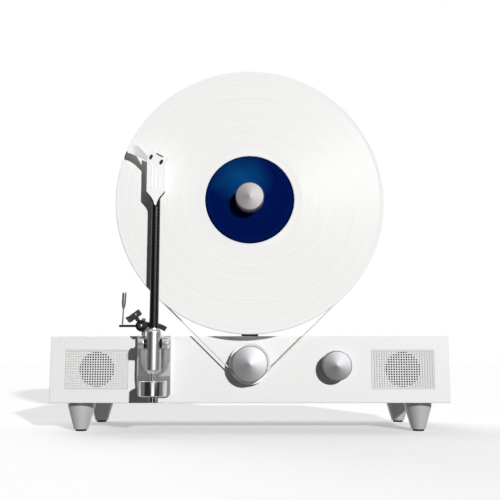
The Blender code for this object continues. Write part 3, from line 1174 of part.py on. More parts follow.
def make_arm_lift():
    """The cueing lift: post, body, curved bar with its pin, and the lever on its shaft."""
    x = ARM_X + LIFT_X
    height = ARM_HEIGHT + LIFT_HEIGHT
    body_back = LIFT_REACH - LIFT_LENGTH
    body = turned("lift_body",
                  [(0, LIFT_REACH), (LIFT_RADIUS, LIFT_REACH), (LIFT_RADIUS, body_back),
                   (0, body_back)],
                  BLACK_METAL, front_point(x, height), FRONT, ROUND_MEDIUM)
    post_hole = POST_RADIUS + SEAT
    top = height + LIFT_RADIUS + POST_PROUD
    cut(body, turned("post_hole_cutter",
                     [(0, LIFT_RADIUS + OVERRUN), (post_hole, LIFT_RADIUS + OVERRUN),
                      (post_hole, -LIFT_RADIUS - OVERRUN), (0, -LIFT_RADIUS - OVERRUN)],
                     BLACK_METAL, front_point(x, height, POST_REACH), UP, ROUND_SMALL))
    turned("lift_post",
           [(0, top), (POST_RADIUS, top), (POST_RADIUS, BASE_TOP + SEAT), (0, BASE_TOP + SEAT)],
           POLISHED_STEEL, front_point(x, 0, POST_REACH), UP, ROUND_SMALL)
    pin_front = LIFT_REACH + BAR_GAP
    pin_end = pin_front - BAR_PIN_LENGTH
    pin_hole = BAR_PIN_RADIUS + RUN
    shaft_reach = pin_end - SEAT - LEVER_SHAFT_RADIUS
    shaft_hole = LEVER_SHAFT_RADIUS + RUN
    cam_space = shaft_reach - shaft_hole / 2
    lever_end = LEVER_SHAFT_INNER - LIFT_X + RUN
    cavity = turned("bar_pin_hole_cutter",
                    [(0, LIFT_REACH + OVERRUN), (pin_hole, LIFT_REACH + OVERRUN),
                     (pin_hole, cam_space), (0, cam_space)],
                    BLACK_METAL, front_point(x, height), FRONT, ROUND_SMALL)
    join(cavity, turned("lever_hole_cutter",
                        [(0, lever_end), (shaft_hole, lever_end),
                         (shaft_hole, -LIFT_RADIUS - OVERRUN), (0, -LIFT_RADIUS - OVERRUN)],
                        BLACK_METAL, front_point(x, height, shaft_reach), RIGHT, ROUND_TINY))
    cut(body, cavity)
    shaft_x = ARM_X - LEVER_SHAFT_END
    shaft_length = LEVER_SHAFT_INNER + LEVER_SHAFT_END
    shaft = turned("lever_shaft",
                   [(0, shaft_length), (LEVER_SHAFT_RADIUS, shaft_length),
                    (LEVER_SHAFT_RADIUS, 0), (0, 0)],
                   BLACK_METAL, front_point(shaft_x, height, shaft_reach), RIGHT, ROUND_TINY)
    base = LEVER_SHAFT_RADIUS + SEAT
    grip = base + LEVER_ROD_LENGTH
    handle = turned("lever_handle",
                    [(0, grip + LEVER_GRIP_LENGTH),
                     (LEVER_GRIP_RADIUS, grip + LEVER_GRIP_LENGTH),
                     (LEVER_GRIP_RADIUS, grip + LEVER_GRIP_TAPER),
                     (LEVER_ROD_RADIUS, grip), (LEVER_ROD_RADIUS, base), (0, base)],
                    POLISHED_STEEL, front_point(ARM_X - LEVER_X, height, shaft_reach),
                    (0, LEVER_LEAN, 0), ROUND_SMALL)
    axis_empty("lever_axis", front_point(shaft_x, height, shaft_reach), (shaft, handle))
    outer = BAR_RADIUS + BAR_WIDTH / 2
    inner = BAR_RADIUS - BAR_WIDTH / 2
    centre = (BAR_CENTRE_X, -BAR_CENTRE_DROP)
    outline = arc(centre, outer, pi / 2 + BAR_LEFT, pi / 2 - BAR_RIGHT, BAR_STEPS)
    outline += arc(centre, inner, pi / 2 - BAR_RIGHT, pi / 2 + BAR_LEFT, BAR_STEPS)
    bar = slab("lift_bar", outline, BAR_THICKNESS, BLACK_METAL,
               front_point(ARM_X, ARM_HEIGHT, pin_front))
    join(bar, turned("lift_pin_guide",
                     [(0, pin_front + BAR_THICKNESS / 2),
                      (BAR_PIN_RADIUS, pin_front + BAR_THICKNESS / 2),
                      (BAR_PIN_RADIUS, pin_end), (0, pin_end)],
                     BLACK_METAL, front_point(x, height), FRONT, ROUND_SMALL))
    make_rest_clip(x, height)


def make_rest_clip(lift_x, lift_height):
    """The parking clip for the arm, on a short stalk from the lift's body."""
    across = (cos(CLIP_ANGLE), sin(CLIP_ANGLE))
    away = (-sin(CLIP_ANGLE), cos(CLIP_ANGLE))
    centre = (ARM_X + CLIP_RADIUS * away[0], ARM_HEIGHT + CLIP_RADIUS * away[1])
    turn = (0, -CLIP_ANGLE, 0)
    saddle = ARM_REACH - TUBE_RADIUS - CLIP_SADDLE_GAP
    clip = box("arm_rest_clip", (CLIP_LENGTH, CLIP_DEPTH, CLIP_WIDTH), BLACK_PLASTIC,
               front_point(*centre, saddle - CLIP_DEPTH / 2), turn)
    hook = CLIP_LENGTH / 2 - CLIP_HOOK_WIDTH / 2
    hook_length = CLIP_HOOK_REACH + CLIP_DEPTH
    join(clip, box("clip_hook_guide", (CLIP_HOOK_WIDTH, hook_length, CLIP_WIDTH), BLACK_PLASTIC,
                   front_point(centre[0] - across[0] * hook, centre[1] - across[1] * hook,
                               saddle + CLIP_HOOK_REACH - hook_length / 2), turn))
    to_lift = (lift_x - centre[0], lift_height - centre[1])
    span = hypot(*to_lift)
    stalk = span - LIFT_RADIUS - SEAT
    lean = atan2(to_lift[0], to_lift[1])
    middle = (centre[0] + to_lift[0] * stalk / span / 2,
              centre[1] + to_lift[1] * stalk / span / 2)
    join(clip, box("clip_stalk_guide", (CLIP_STALK_WIDTH, CLIP_STALK_DEPTH, stalk),
                   BLACK_PLASTIC,
                   front_point(*middle, saddle - CLIP_DEPTH - CLIP_STALK_DEPTH / 2 + OVERRUN),
                   (0, lean, 0)))


def build():
    make_cabinet()
    make_back_panel()
    make_feet()
    for hand, side in HANDS:
        make_speaker(hand, side)
    make_column()
    make_bearing()
    make_platter_group()
    make_drive()
    make_volume_control()
    make_electronics()
    make_armboard()
    make_yoke()
    make_arm_lift()


build()
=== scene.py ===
"""Vertical record player, dressed for its pictures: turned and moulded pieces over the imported
frame, with lacquer, vinyl, spun metal, carbon fibre and black fittings, on a pale floor.

Lengths are metres. Reach is the distance in front of the cabinet's face, along -Y. A profile
lists (radius, height) along a turned piece's own axis.
"""
import bpy
import bmesh
from math import asin, atan2, cos, hypot, pi, radians, sin
from mathutils import Matrix, Vector


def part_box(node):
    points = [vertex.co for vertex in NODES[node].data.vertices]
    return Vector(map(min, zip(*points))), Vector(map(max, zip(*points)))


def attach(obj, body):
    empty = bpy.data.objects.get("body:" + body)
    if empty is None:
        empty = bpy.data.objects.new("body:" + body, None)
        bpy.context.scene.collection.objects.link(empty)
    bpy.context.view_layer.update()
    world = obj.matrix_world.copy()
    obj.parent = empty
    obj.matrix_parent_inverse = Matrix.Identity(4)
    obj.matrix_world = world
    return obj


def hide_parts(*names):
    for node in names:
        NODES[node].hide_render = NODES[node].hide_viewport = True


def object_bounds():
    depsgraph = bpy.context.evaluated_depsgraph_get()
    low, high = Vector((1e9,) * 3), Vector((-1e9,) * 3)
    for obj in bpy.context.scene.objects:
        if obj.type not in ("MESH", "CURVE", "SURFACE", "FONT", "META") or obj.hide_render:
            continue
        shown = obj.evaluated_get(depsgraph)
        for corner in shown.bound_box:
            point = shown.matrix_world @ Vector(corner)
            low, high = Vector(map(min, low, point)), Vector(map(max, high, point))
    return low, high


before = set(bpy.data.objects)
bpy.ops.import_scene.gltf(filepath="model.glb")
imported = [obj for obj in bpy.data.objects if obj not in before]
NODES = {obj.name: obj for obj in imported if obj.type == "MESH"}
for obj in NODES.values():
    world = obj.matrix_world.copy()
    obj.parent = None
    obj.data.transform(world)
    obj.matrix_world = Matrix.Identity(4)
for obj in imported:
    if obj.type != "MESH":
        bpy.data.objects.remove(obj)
cad_low, cad_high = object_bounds()

FRONT = Matrix.Rotation(pi / 2, 4, "X")
BACK = Matrix.Rotation(-pi / 2, 4, "X")
RIGHT = Matrix.Rotation(pi / 2, 4, "Y")
UP = Matrix.Identity(4)
HANDS = (("left", -1), ("right", 1))


# Places taken from the frame
def middle(node):
    """The centre of a node's box."""
    low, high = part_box(node)
    return (low + high) / 2


def reaches(node):
    """The reach of a node's front and of its back."""
    low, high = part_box(node)
    return FACE - low.y, FACE - high.y


def rises(node):
    """How far a node's top and bottom lie above the arm's pivot."""
    low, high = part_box(node)
    return high.z - ARM_Z, low.z - ARM_Z


def front(x, height, reach=0.0):
    """A point in front of the cabinet's face."""
    return Vector((x, FACE - reach, height))


def facing(node):
    """The point in the plane of the cabinet's face that is level with a node's centre."""
    return front(middle(node).x, middle(node).z)


(_, FACE, BASE_BOTTOM), (_, BACK_FACE, BASE_TOP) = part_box("cabinet")
SPINDLE, PULLEY = middle("record").z, middle("pulley_cap").z
ARM_X, ARM_REACH = middle("arm_tube").x, FACE - middle("arm_tube").y
ARM_Z = middle("pivot_screw_left").z
ON_SPINDLE, ON_PULLEY = front(0, SPINDLE), front(0, PULLEY)
ON_PIVOT, ON_ARM = front(ARM_X, ARM_Z), front(ARM_X, ARM_Z, ARM_REACH)
OFFSET = radians(27)  # of the headshell, from the tube's line
GAP = 0.0003  # left between pieces that don't touch, and the label's thickness
PLATTER_RADIUS = 0.1502
GROOVE_RADIUS = 0.01825  # of the pulley
BELT_RADIUS = 0.00075
BLOCK_DEPTH = 0.0083  # of the arm's mounting block
SHELL_RISE = 0.2013  # from the pivot to the middle of the headshell's slots
SLOT_SIDE = 0.00635  # half the distance between those slots
TOUCHING = 0.000001  # points nearer than this are one


# Node materials
def linear(colour):
    """An sRGB hex colour as linear red, green, blue and alpha."""
    parts = [int(colour[i:i + 2], 16) / 255 for i in (1, 3, 5)]
    return tuple(c / 12.92 if c <= 0.04045 else ((c + 0.055) / 1.055) ** 2.4 for c in parts) + (1,)


def add(tree, kind, inputs=None, **settings):
    """Adds a shader node with its settings, values and links."""
    made = tree.nodes.new("ShaderNode" + kind)
    for key, value in settings.items():
        setattr(made, key, value)
    for socket, value in (inputs or {}).items():
        if isinstance(value, bpy.types.NodeSocket):
            tree.links.new(value, made.inputs[socket])
        else:
            made.inputs[socket].default_value = value
    return made


def calc(tree, operation, *values):
    """The output of a maths node."""
    return add(tree, "Math", dict(enumerate(values)), operation=operation).outputs[0]


def vector(tree, operation, *values):
    """The output of a vector maths node."""
    made = add(tree, "VectorMath", dict(enumerate(values)), operation=operation)
    return made.outputs["Value" if operation == "LENGTH" else "Vector"]


def ramp(tree, value, start, end, low=0.0, high=1.0, **settings):
    """Maps start..end to low..high, and holds the ends."""
    return add(tree, "MapRange", {"Value": value, "From Min": start, "From Max": end,
                                  "To Min": low, "To Max": high}, **settings).outputs[0]


def noise(tree, where, size, detail=3.0, roughness=0.5):
    """Noise with grains of the given size."""
    return add(tree, "TexNoise", {"Vector": where, "Scale": 1 / size, "Detail": detail,
                                  "Roughness": roughness}).outputs["Fac"]


def place(tree, centre=(0, 0, 0), scale=(1, 1, 1)):
    """Object coordinates about a centre, stretched."""
    moved = add(tree, "Mapping", {"Vector": add(tree, "TexCoord").outputs["Object"],
                                  "Location": [-c for c in centre]})
    return add(tree, "Mapping", {"Vector": moved.outputs[0], "Scale": scale}).outputs[0]


def two_tone(tree, factor, first, second, start=0.0, end=1.0):
    """A colour that goes from first to second between two values of the factor."""
    made = add(tree, "ValToRGB", {"Fac": factor})
    stops = made.color_ramp.elements
    stops[0].position, stops[1].position = start, end
    stops[0].color, stops[1].color = linear(first), linear(second)
    return made.outputs[0]


def finish(name, colour, roughness, metallic=0.0, **more):
    """A Principled material; returns it with its tree and shader."""
    made = bpy.data.materials.new(name)
    made.use_nodes = True
    shader = made.node_tree.nodes["Principled BSDF"]
    for socket, value in {"Base Color": linear(colour), "Roughness": roughness,
                          "Metallic": metallic, **more}.items():
        shader.inputs[socket].default_value = value
    return made, made.node_tree, shader


def link(tree, output, shader, socket):
    """Feeds one of the shader's sockets."""
    tree.links.new(output, shader.inputs[socket])


def bump(tree, shader, height, depth, strength=1.0):
    """Lets a pattern stand out by a depth."""
    made = add(tree, "Bump", {"Height": height, "Distance": depth, "Strength": strength})
    link(tree, made.outputs[0], shader, "Normal")


def grained(name, colour, roughness, grain, depth, tints, rough, metallic=0.0,
            stretch=(1, 1, 1), **more):
    """A skin with grains of one size, which also shift its roughness and, if tints are given,
    its colour."""
    made, tree, shader = finish(name, colour, roughness, metallic, **more)
    grains = noise(tree, place(tree, scale=stretch), grain, 3.0, 0.55)
    bump(tree, shader, grains, depth)
    if tints:
        link(tree, two_tone(tree, grains, *tints, 0.3, 0.7), shader, "Base Color")
    link(tree, ramp(tree, grains, 0, 1, *rough), shader, "Roughness")
    return made


def machined(name, colour, roughness, grain):
    """Metal wiped in its machining: faint streaks a few tenths of a millimetre apart."""
    return grained(name, colour, roughness, grain, 0.000004, None,
                   (roughness - 0.04, roughness + 0.06), 1.0, (1, 1, 6))


def black_finish(name, colour, roughness, grain, depth, metallic=0.0):
    """Black coated or moulded surfaces: a pebbled skin of the given grain."""
    return grained(name, colour, roughness, grain, depth, None,
                   (roughness - 0.06, roughness + 0.08), metallic)


def axis_distance(tree, centre, axis):
    """Distance from a turning axis along 'X', 'Y' or 'Z', and the vector away from it."""
    flat = [0.0 if a == axis else 1.0 for a in "XYZ"]
    away = vector(tree, "MULTIPLY", place(tree, centre), flat)
    return vector(tree, "LENGTH", away), away


def turning_tangent(tree, shader, away, axis):
    """Lays the stretched highlight across the tool marks of a turned piece."""
    along = [1.0 if a == axis else 0.0 for a in "XYZ"]
    side = vector(tree, "NORMALIZE", vector(tree, "CROSS_PRODUCT", along, away))
    world = add(tree, "VectorTransform", {0: side}, vector_type="VECTOR",
                convert_from="OBJECT", convert_to="WORLD")
    link(tree, world.outputs[0], shader, "Tangent")


def ring_noise(tree, distance, pitch, detail=2.0):
    """Noise that changes only with the distance given, in rings one pitch wide."""
    along = add(tree, "CombineXYZ", {"X": distance}).outputs[0]
    return noise(tree, along, pitch, detail, 0.6)


def turned_metal(name, centre, axis, colour, roughness, stretch=0.3, metallic=1.0):
    """Metal cut on a lathe: rings 0.4 mm apart about its own axis, and a highlight that fans
    out; under a matt clear lacquer it is less than fully metallic."""
    made, tree, shader = finish(name, colour, roughness, metallic, Anisotropic=stretch)
    distance, away = axis_distance(tree, centre, axis)
    if axis == "Z":  # marks on an upright cylinder follow one another along its height
        split = add(tree, "SeparateXYZ", {"Vector": place(tree, centre)})
        distance = calc(tree, "ADD", distance, split.outputs["Z"])
    rings = ring_noise(tree, distance, 0.0004)
    turning_tangent(tree, shader, away, axis)
    link(tree, ramp(tree, rings, 0, 1, roughness - 0.05, roughness + 0.07), shader, "Roughness")
    bump(tree, shader, rings, 0.000006)
    return made


def vinyl():
    """Pressed white vinyl: grooves are drawn 0.5 mm apart, five times as coarse as the real
    ones, inside bands of loud and quiet music; the run-out and the rim stay smooth."""
    made, tree, shader = finish("pressed_white_vinyl", "#F4F4F2", 0.36, Anisotropic=0.4,
                                **{"Specular IOR Level": 0.22})
    distance, away = axis_distance(tree, ON_SPINDLE, "Y")
    groove = calc(tree, "SINE", calc(tree, "MULTIPLY", distance, 2 * pi / 0.0005))
    played = calc(tree, "MULTIPLY", ramp(tree, distance, 0.059, 0.0596),
                  ramp(tree, distance, 0.1468, 0.1462))
    music = ring_noise(tree, distance, 0.004, 4.0)
    bump(tree, shader, calc(tree, "MULTIPLY", groove, played), 0.00003, 0.5)
    link(tree, two_tone(tree, music, "#F1F1EF", "#F7F7F6", 0.35, 0.65), shader, "Base Color")
    link(tree, ramp(tree, music, 0, 1, 0.27, 0.4), shader, "Roughness")
    turning_tangent(tree, shader, away, "Y")
    return made


def label_paper():
    """Offset-printed label stock: deep navy that lightens to one side of the hole, one thin
    paler ring, a dark rim, and paper fibres of about 0.5 mm under the ink."""
    made, tree, shader = finish("printed_navy_label_paper", "#03104A", 0.72,
                                **{"Specular IOR Level": 0.0})

    def over(factor, below, colour):
        return add(tree, "Mix", {0: factor, 6: below, 7: linear(colour)},
                   data_type="RGBA").outputs[2]

    distance, _ = axis_distance(tree, ON_SPINDLE, "Y")
    aside = vector(tree, "MULTIPLY", place(tree, (-0.01, FACE, SPINDLE + 0.025)), (0.8, 0, 1.0))
    cloud = noise(tree, place(tree), 0.016, 4.0)
    spread = calc(tree, "MULTIPLY_ADD", cloud, 0.018, vector(tree, "LENGTH", aside))
    ink = two_tone(tree, ramp(tree, spread, 0.012, 0.039), "#08467E", "#02144E")
    rimmed = over(ramp(tree, distance, 0.0484, 0.0496), ink, "#02061E")
    ring = calc(tree, "COMPARE", distance, 0.0452, 0.00022)
    inked = over(calc(tree, "MULTIPLY", ring, 0.12), rimmed, "#3A5A8C")
    link(tree, inked, shader, "Base Color")
    bump(tree, shader, noise(tree, place(tree), 0.0005), 0.00001)
    return made


def carbon_fibre():
    """Twill-woven carbon under clear resin: 2 mm tows, light and dark by turns, deep gloss."""
    made, tree, shader = finish("twill_carbon_tube", "#070708", 0.38,
                                **{"Coat Weight": 0.6, "Coat Roughness": 0.1,
                                   "Specular IOR Level": 0.2})
    x, y, z = add(tree, "SeparateXYZ", {"Vector": place(tree, ON_ARM)}).outputs
    round_way = calc(tree, "MULTIPLY", calc(tree, "ARCTAN2", x, y), 15 / (2 * pi))
    step = calc(tree, "ADD", round_way, calc(tree, "MULTIPLY", z, 1 / 0.002))
    tow = ramp(tree, calc(tree, "FRACT", calc(tree, "MULTIPLY", step, 0.5)), 0.42, 0.58)
    link(tree, two_tone(tree, tow, "#020203", "#0B0B0D"), shader, "Base Color")
    link(tree, ramp(tree, tow, 0, 1, 0.3, 0.48), shader, "Roughness")
    bump(tree, shader, tow, 0.00003, 0.4)
    return made


def circuit_board():
    """Green solder mask over copper tracks 0.6 mm wide."""
    made, tree, shader = finish("green_solder_mask", "#0F5B2C", 0.32)
    bricks = add(tree, "TexBrick", {"Vector": place(tree), "Scale": 1 / 0.004,
                                    "Mortar Size": 0.07, "Color1": linear("#0E5629"),
                                    "Color2": linear("#106131"), "Mortar": linear("#2D8A48")})
    link(tree, bricks.outputs["Color"], shader, "Base Color")
    bump(tree, shader, bricks.outputs["Fac"], 0.00003)
    return made


# Sprayed satin lacquer on board: even off-white, a faint orange peel 3 mm across
LACQUER = grained("sprayed_satin_lacquer", "#EDEDEC", 0.36, 0.003, 0.000012,
                  ("#EBEBEA", "#EFEFEE"), (0.33, 0.4),
                  **{"Coat Weight": 0.25, "Coat Roughness": 0.22})
# White powder coat on perforated sheet: a dull skin with grains of about 0.4 mm
POWDER = grained("white_powder_coat", "#DFDFDE", 0.5, 0.0004, 0.00001, ("#DCDCDB", "#E2E2E1"),
                 (0.45, 0.56))
VINYL = vinyl()
# Moulded white ABS: a fine spark-eroded texture of 0.25 mm, half matt
ABS = grained("moulded_white_abs", "#F0F0EE", 0.38, 0.00025, 0.000006, ("#EEEEEC", "#F2F2F0"),
              (0.34, 0.44))
# Stove-enamelled headshell: the brightest white on the player, smooth and half glossy
ENAMEL = grained("white_stove_enamel", "#F8F8F7", 0.42, 0.0012, 0.000004,
                 ("#F7F7F6", "#F9F9F8"), (0.38, 0.46))
LABEL = label_paper()
# Bead-blasted, clear-anodised aluminium: a soft grey with a grain of 0.2 mm
ALUMINIUM = grained("blasted_anodised_aluminium", "#BCBDBF", 0.38, 0.0002, 0.000006,
                    ("#B9BABC", "#C0C1C3"), (0.34, 0.44), 1.0)
SHINY = machined("polished_stainless_steel", "#D6D6D6", 0.16, 0.0006)
POLISHED = machined("polished_aluminium", "#DEDFE0", 0.14, 0.0006)
DARK_CHROME = machined("dark_chrome_plate", "#A2A2A5", 0.08, 0.0005)
ZINC = machined("zinc_plated_steel", "#B9BABC", 0.36, 0.0005)
BLACK_METAL = black_finish("black_powder_coat", "#0E0E10", 0.42, 0.0005, 0.000015)
BLACK_ANODISED = black_finish("black_anodised_aluminium", "#151517", 0.3, 0.0003, 0.000004, 0.6)
BLACK_CHROME = black_finish("black_chrome_plate", "#5A5A5D", 0.14, 0.0005, 0.000002, 1.0)
BLACK_PLASTIC = black_finish("moulded_black_nylon", "#131315", 0.46, 0.0006, 0.00002)
RUBBER = black_finish("moulded_black_rubber", "#19191B", 0.72, 0.0008, 0.00003)
CARBON = carbon_fibre()
# Ground polyurethane belt: milky, half clear, a little dull
BELT = grained("milky_polyurethane_belt", "#E4E4E1", 0.42, 0.0003, 0.000006,
               ("#E1E1DE", "#E8E8E5"), (0.36, 0.5), **{"Transmission Weight": 0.15, "IOR": 1.5})
BOARD = circuit_board()
# Pressed black paper of a loudspeaker cone: fibres of about 0.6 mm, quite matt
CONE = grained("pressed_cone_paper", "#17171A", 0.85, 0.0006, 0.00004, ("#121214", "#1F1F22"),
               (0.78, 0.92))
SPUN_CLAMP = turned_metal("spun_clamp_aluminium", ON_SPINDLE, "Y", "#A4A0A1", 0.64)
SPUN_PULLEY = turned_metal("spun_pulley_aluminium", ON_PULLEY, "Y", "#A7A7A9", 0.57)
TURNED_WHEEL = turned_metal("turned_wheel_aluminium", ON_PULLEY, "Y", "#C4C4C6", 0.5)
SPUN_KNOB = turned_metal("spun_knob_aluminium", facing("volume_knob"), "Y", "#8E8E90", 0.53)
ARM_AXIS = front(ARM_X, 0, ARM_REACH)
TURNED_ARM = turned_metal("turned_arm_aluminium", ARM_AXIS, "Z", "#D2D3D5", 0.3)
TURNED_WEIGHT = turned_metal("polished_weight_aluminium", ARM_AXIS, "Z", "#E4E4E6", 0.09)


# Mesh operations
def rounded(profile, size, ring):
    """The profile with its corners cut by a small arc, so that edges catch the light."""
    straight, shortest, share = radians(160), 0.00002, 0.45
    out, count = [], len(profile)
    for i, here in enumerate(profile):
        corner = Vector(here)
        before, after = Vector(profile[i - 1]) - corner, Vector(profile[(i + 1) % count]) - corner
        reach = min(size, before.length * share, after.length * share)
        if (not ring and i in (0, count - 1) or before.angle(after) > straight
                or reach < shortest):
            out.append(here)
            continue
        a, b = (corner + way.normalized() * reach for way in (before, after))
        inner = (a + b) / 2 * 0.4 + corner * 0.6
        out += [tuple(a), tuple((a + inner) / 2 * 0.5 + inner * 0.5), tuple(b)]
    return out


def lathe(profile, size=0.0, steps=64, ring=None):
    """Spins a profile about the local Z axis, its corners rounded to a size. One that starts
    off the axis closes itself, unless ring says otherwise."""
    if ring is None:
        ring = profile[0][0] > 0
    if size:
        profile = rounded(profile, size, ring)
    shape = bmesh.new()
    points = [shape.verts.new((radius, 0, height)) for radius, height in profile]
    pairs = list(zip(points, points[1:])) + ([(points[-1], points[0])] if ring else [])
    edges = [shape.edges.new(pair) for pair in pairs]
    bmesh.ops.spin(shape, geom=points + edges, cent=(0, 0, 0), axis=(0, 0, 1), dvec=(0, 0, 0),
                   angle=2 * pi, steps=steps, use_merge=True, use_duplicate=False)
    bmesh.ops.remove_doubles(shape, verts=shape.verts, dist=TOUCHING)
    return outward(shape)


def outward(shape):
    """Turns every face outwards."""
    bmesh.ops.recalc_face_normals(shape, faces=shape.faces)
    return shape


def band(bore, radius, start, end):
    """The profile of a plain rod or ring between two heights."""
    return [(bore, start), (radius, start), (radius, end), (bore, end)]


def plate(outline, thickness, holes=()):
    """A flat outline with holes, given a thickness along the local Z axis."""
    shape = bmesh.new()
    edges = []
    for loop in (outline, *holes):
        points = [shape.verts.new((x, y, 0)) for x, y in loop]
        edges += [shape.edges.new(pair) for pair in zip(points, points[1:] + points[:1])]
    if holes:
        bmesh.ops.triangle_fill(shape, use_beauty=True, edges=edges)
    else:
        bmesh.ops.contextual_create(shape, geom=edges)
    grown = bmesh.ops.extrude_face_region(shape, geom=shape.faces[:])
    bmesh.ops.translate(shape, vec=(0, 0, thickness), verts=only(bmesh.types.BMVert, grown))
    return outward(shape)


def only(kind, result, key="geom"):
    """The elements of one kind that an operator returned."""
    return [g for g in result[key] if isinstance(g, kind)]


def block(size, centre=(0, 0, 0), edge=0.0006, segments=2):
    """A box with rounded edges."""
    shape = bmesh.new()
    bmesh.ops.create_cube(shape, size=1, matrix=Matrix.LocRotScale(Vector(centre), None,
                                                                   Vector(size)))
    return soften(shape, edge, segments)


def soften(shape, size, segments=2, sharper=radians(28)):
    """Rounds the edges that turn by more than an angle."""
    sharp = [e for e in shape.edges if e.is_manifold and e.calc_face_angle(0) > sharper]
    bevel(shape, sharp, size, segments, "EDGES")
    return shape


def bevel(shape, parts, size, segments, affect):
    """Rounds edges or cuts corners off."""
    bmesh.ops.bevel(shape, geom=parts, offset=size, offset_type="OFFSET", segments=segments,
                    profile=0.5, affect=affect, material=-1, clamp_overlap=True)


def split(shape, at, normal, **options):
    """Cuts a shape along a plane, and returns what the operator says."""
    return bmesh.ops.bisect_plane(shape, geom=shape.verts[:] + shape.edges[:] + shape.faces[:],
                                  plane_co=at, plane_no=normal, **options)


def shift(shape, at, turn=UP):
    """Turns a shape and moves it."""
    bmesh.ops.transform(shape, matrix=Matrix.Translation(at) @ turn, verts=shape.verts)
    return shape


def joined(*shapes):
    """Several shells in one mesh."""
    whole = bmesh.new()
    for shape in shapes:
        part = bpy.data.meshes.new("part")
        shape.to_mesh(part)
        shape.free()
        whole.from_mesh(part)
        bpy.data.meshes.remove(part)
    return whole


def arc(centre, radius, start, end, steps):
    """Points along an arc, its ends included."""
    angles = [start + (end - start) / steps * i for i in range(steps + 1)]
    return [(centre[0] + radius * cos(a), centre[1] + radius * sin(a)) for a in angles]


def oblong(radius, half, steps):
    """The outline of an upright slot with round ends, half its straight length each way."""
    return arc((0, half), radius, 0, pi, steps) + arc((0, -half), radius, pi, 2 * pi, steps)


def rectangle(half_width, half_height):
    """A rectangle's outline about the centre."""
    return [(-half_width, -half_height), (half_width, -half_height),
            (half_width, half_height), (-half_width, half_height)]


def corner_normals(shape):
    """A normal for each face corner that leans on the larger faces, so that flats look flat."""
    out = []
    for face in shape.faces:
        for corner in face.loops:
            point, seen, todo = corner.vert, {face}, [face]
            total = Vector()
            while todo:
                here = todo.pop()
                total += here.normal * here.calc_area()
                for edge in here.edges:
                    if edge.smooth and point in edge.verts:
                        for other in edge.link_faces:
                            if other not in seen:
                                seen.add(other)
                                todo.append(other)
            out.append(total.normalized())
    return out


def show(name, data):
    """A new object in the scene."""
    made = bpy.data.objects.new(name, data)
    bpy.context.scene.collection.objects.link(made)
    return made


def piece(name, shape, material, at=(0, 0, 0), turn=UP, node=None, body="base", slot=None,
          smooth=radians(34)):
    """Puts a finished shape in its place, shades it, and lets it ride on a body, in place of
    its CAD node if it has one."""
    shift(shape, at, turn)
    for face in shape.faces:
        face.smooth = True
    for edge in shape.edges:
        edge.smooth = edge.is_manifold and edge.calc_face_angle(0) < smooth
    shape.normal_update()
    normals = corner_normals(shape)
    mesh = bpy.data.meshes.new(name)
    shape.to_mesh(mesh)
    shape.free()
    mesh.normals_split_custom_set(normals)
    mesh.materials.append(material)
    made = show(name, mesh)
    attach(made, body)
    if node:
        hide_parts(node)


def turned(name, profile, size, steps, material, at, turn=FRONT, ring=None, **more):
    """A piece spun from its profile, with corners rounded to a size."""
    piece(name, lathe(profile, size, steps, ring), material, at, turn, **more)


# Cabinet, feet, grilles
def make_cabinet():
    """Finishes for the CAD nodes that are shown as they are, and the back panel's screws."""
    for material, nodes in (
            (LACQUER, "cabinet"), (BLACK_PLASTIC, "back_panel volume_control"),
            (BOARD, "amplifier_board"), (ALUMINIUM, "board_bracket"),
            (BLACK_METAL, "left_driver_frame right_driver_frame motor_screw_left "
                          "motor_screw_right"),
            (CONE, "left_driver_cone right_driver_cone"),
            (ZINC, "drive_motor motor_shaft volume_shaft front_bearing rear_bearing")):
        for node in nodes.split():
            for held in NODES[node].material_slots:
                held.material = material
    head = [(0, 0.0004), (0.0009, 0.0004), (0.0013, 0.0012), (0.0024, 0.0011), (0.0027, 0.0003),
            (0.0027, 0)]
    low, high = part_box("back_panel")
    inset = 0.006
    places = [(x, z) for x in (low.x + inset, high.x - inset)
              for z in (low.z + inset, high.z - inset)]
    for i, (x, z) in enumerate(places):
        turned(f"panel_screw_{i + 1}", head, 0.0002, 24, BLACK_METAL, (x, BACK_FACE, z), BACK)


def make_feet():
    """Turned cones under a short collar, on rubber tips."""
    wide, narrow, collar, tip, stud = 0.0153, 0.0077, 0.0042, 0.0022, 0.003
    below = BASE_BOTTOM - GAP - collar
    stud_top = below + collar + 0.012
    cone = [(0, stud_top), (stud, stud_top), (stud, below + collar), (wide, below + collar),
            (wide, below), (narrow + (wide - narrow) / below * 0.0013, tip), (0.0055, tip),
            (0.0055, tip + 0.0004), (0, tip + 0.0004)]
    pad = [(0, 0.0025), (0.006, 0.0025), (0.0064, 0.0019), (0.0062, 0), (0, 0)]
    for node in ("foot_front_left", "foot_front_right", "foot_rear_left", "foot_rear_right"):
        at = middle(node).xy.to_3d()
        metal = turned_metal("turned_" + node, at, "Z", "#D2D2D3", 0.46, 0.2, metallic=0.45)
        turned(node + "_cone", cone, 0.0003, 72, metal, at, UP, node=node,
               slot="satin_aluminium")
        turned(node + "_pad", pad, 0.0003, 48, RUBBER, at, UP)


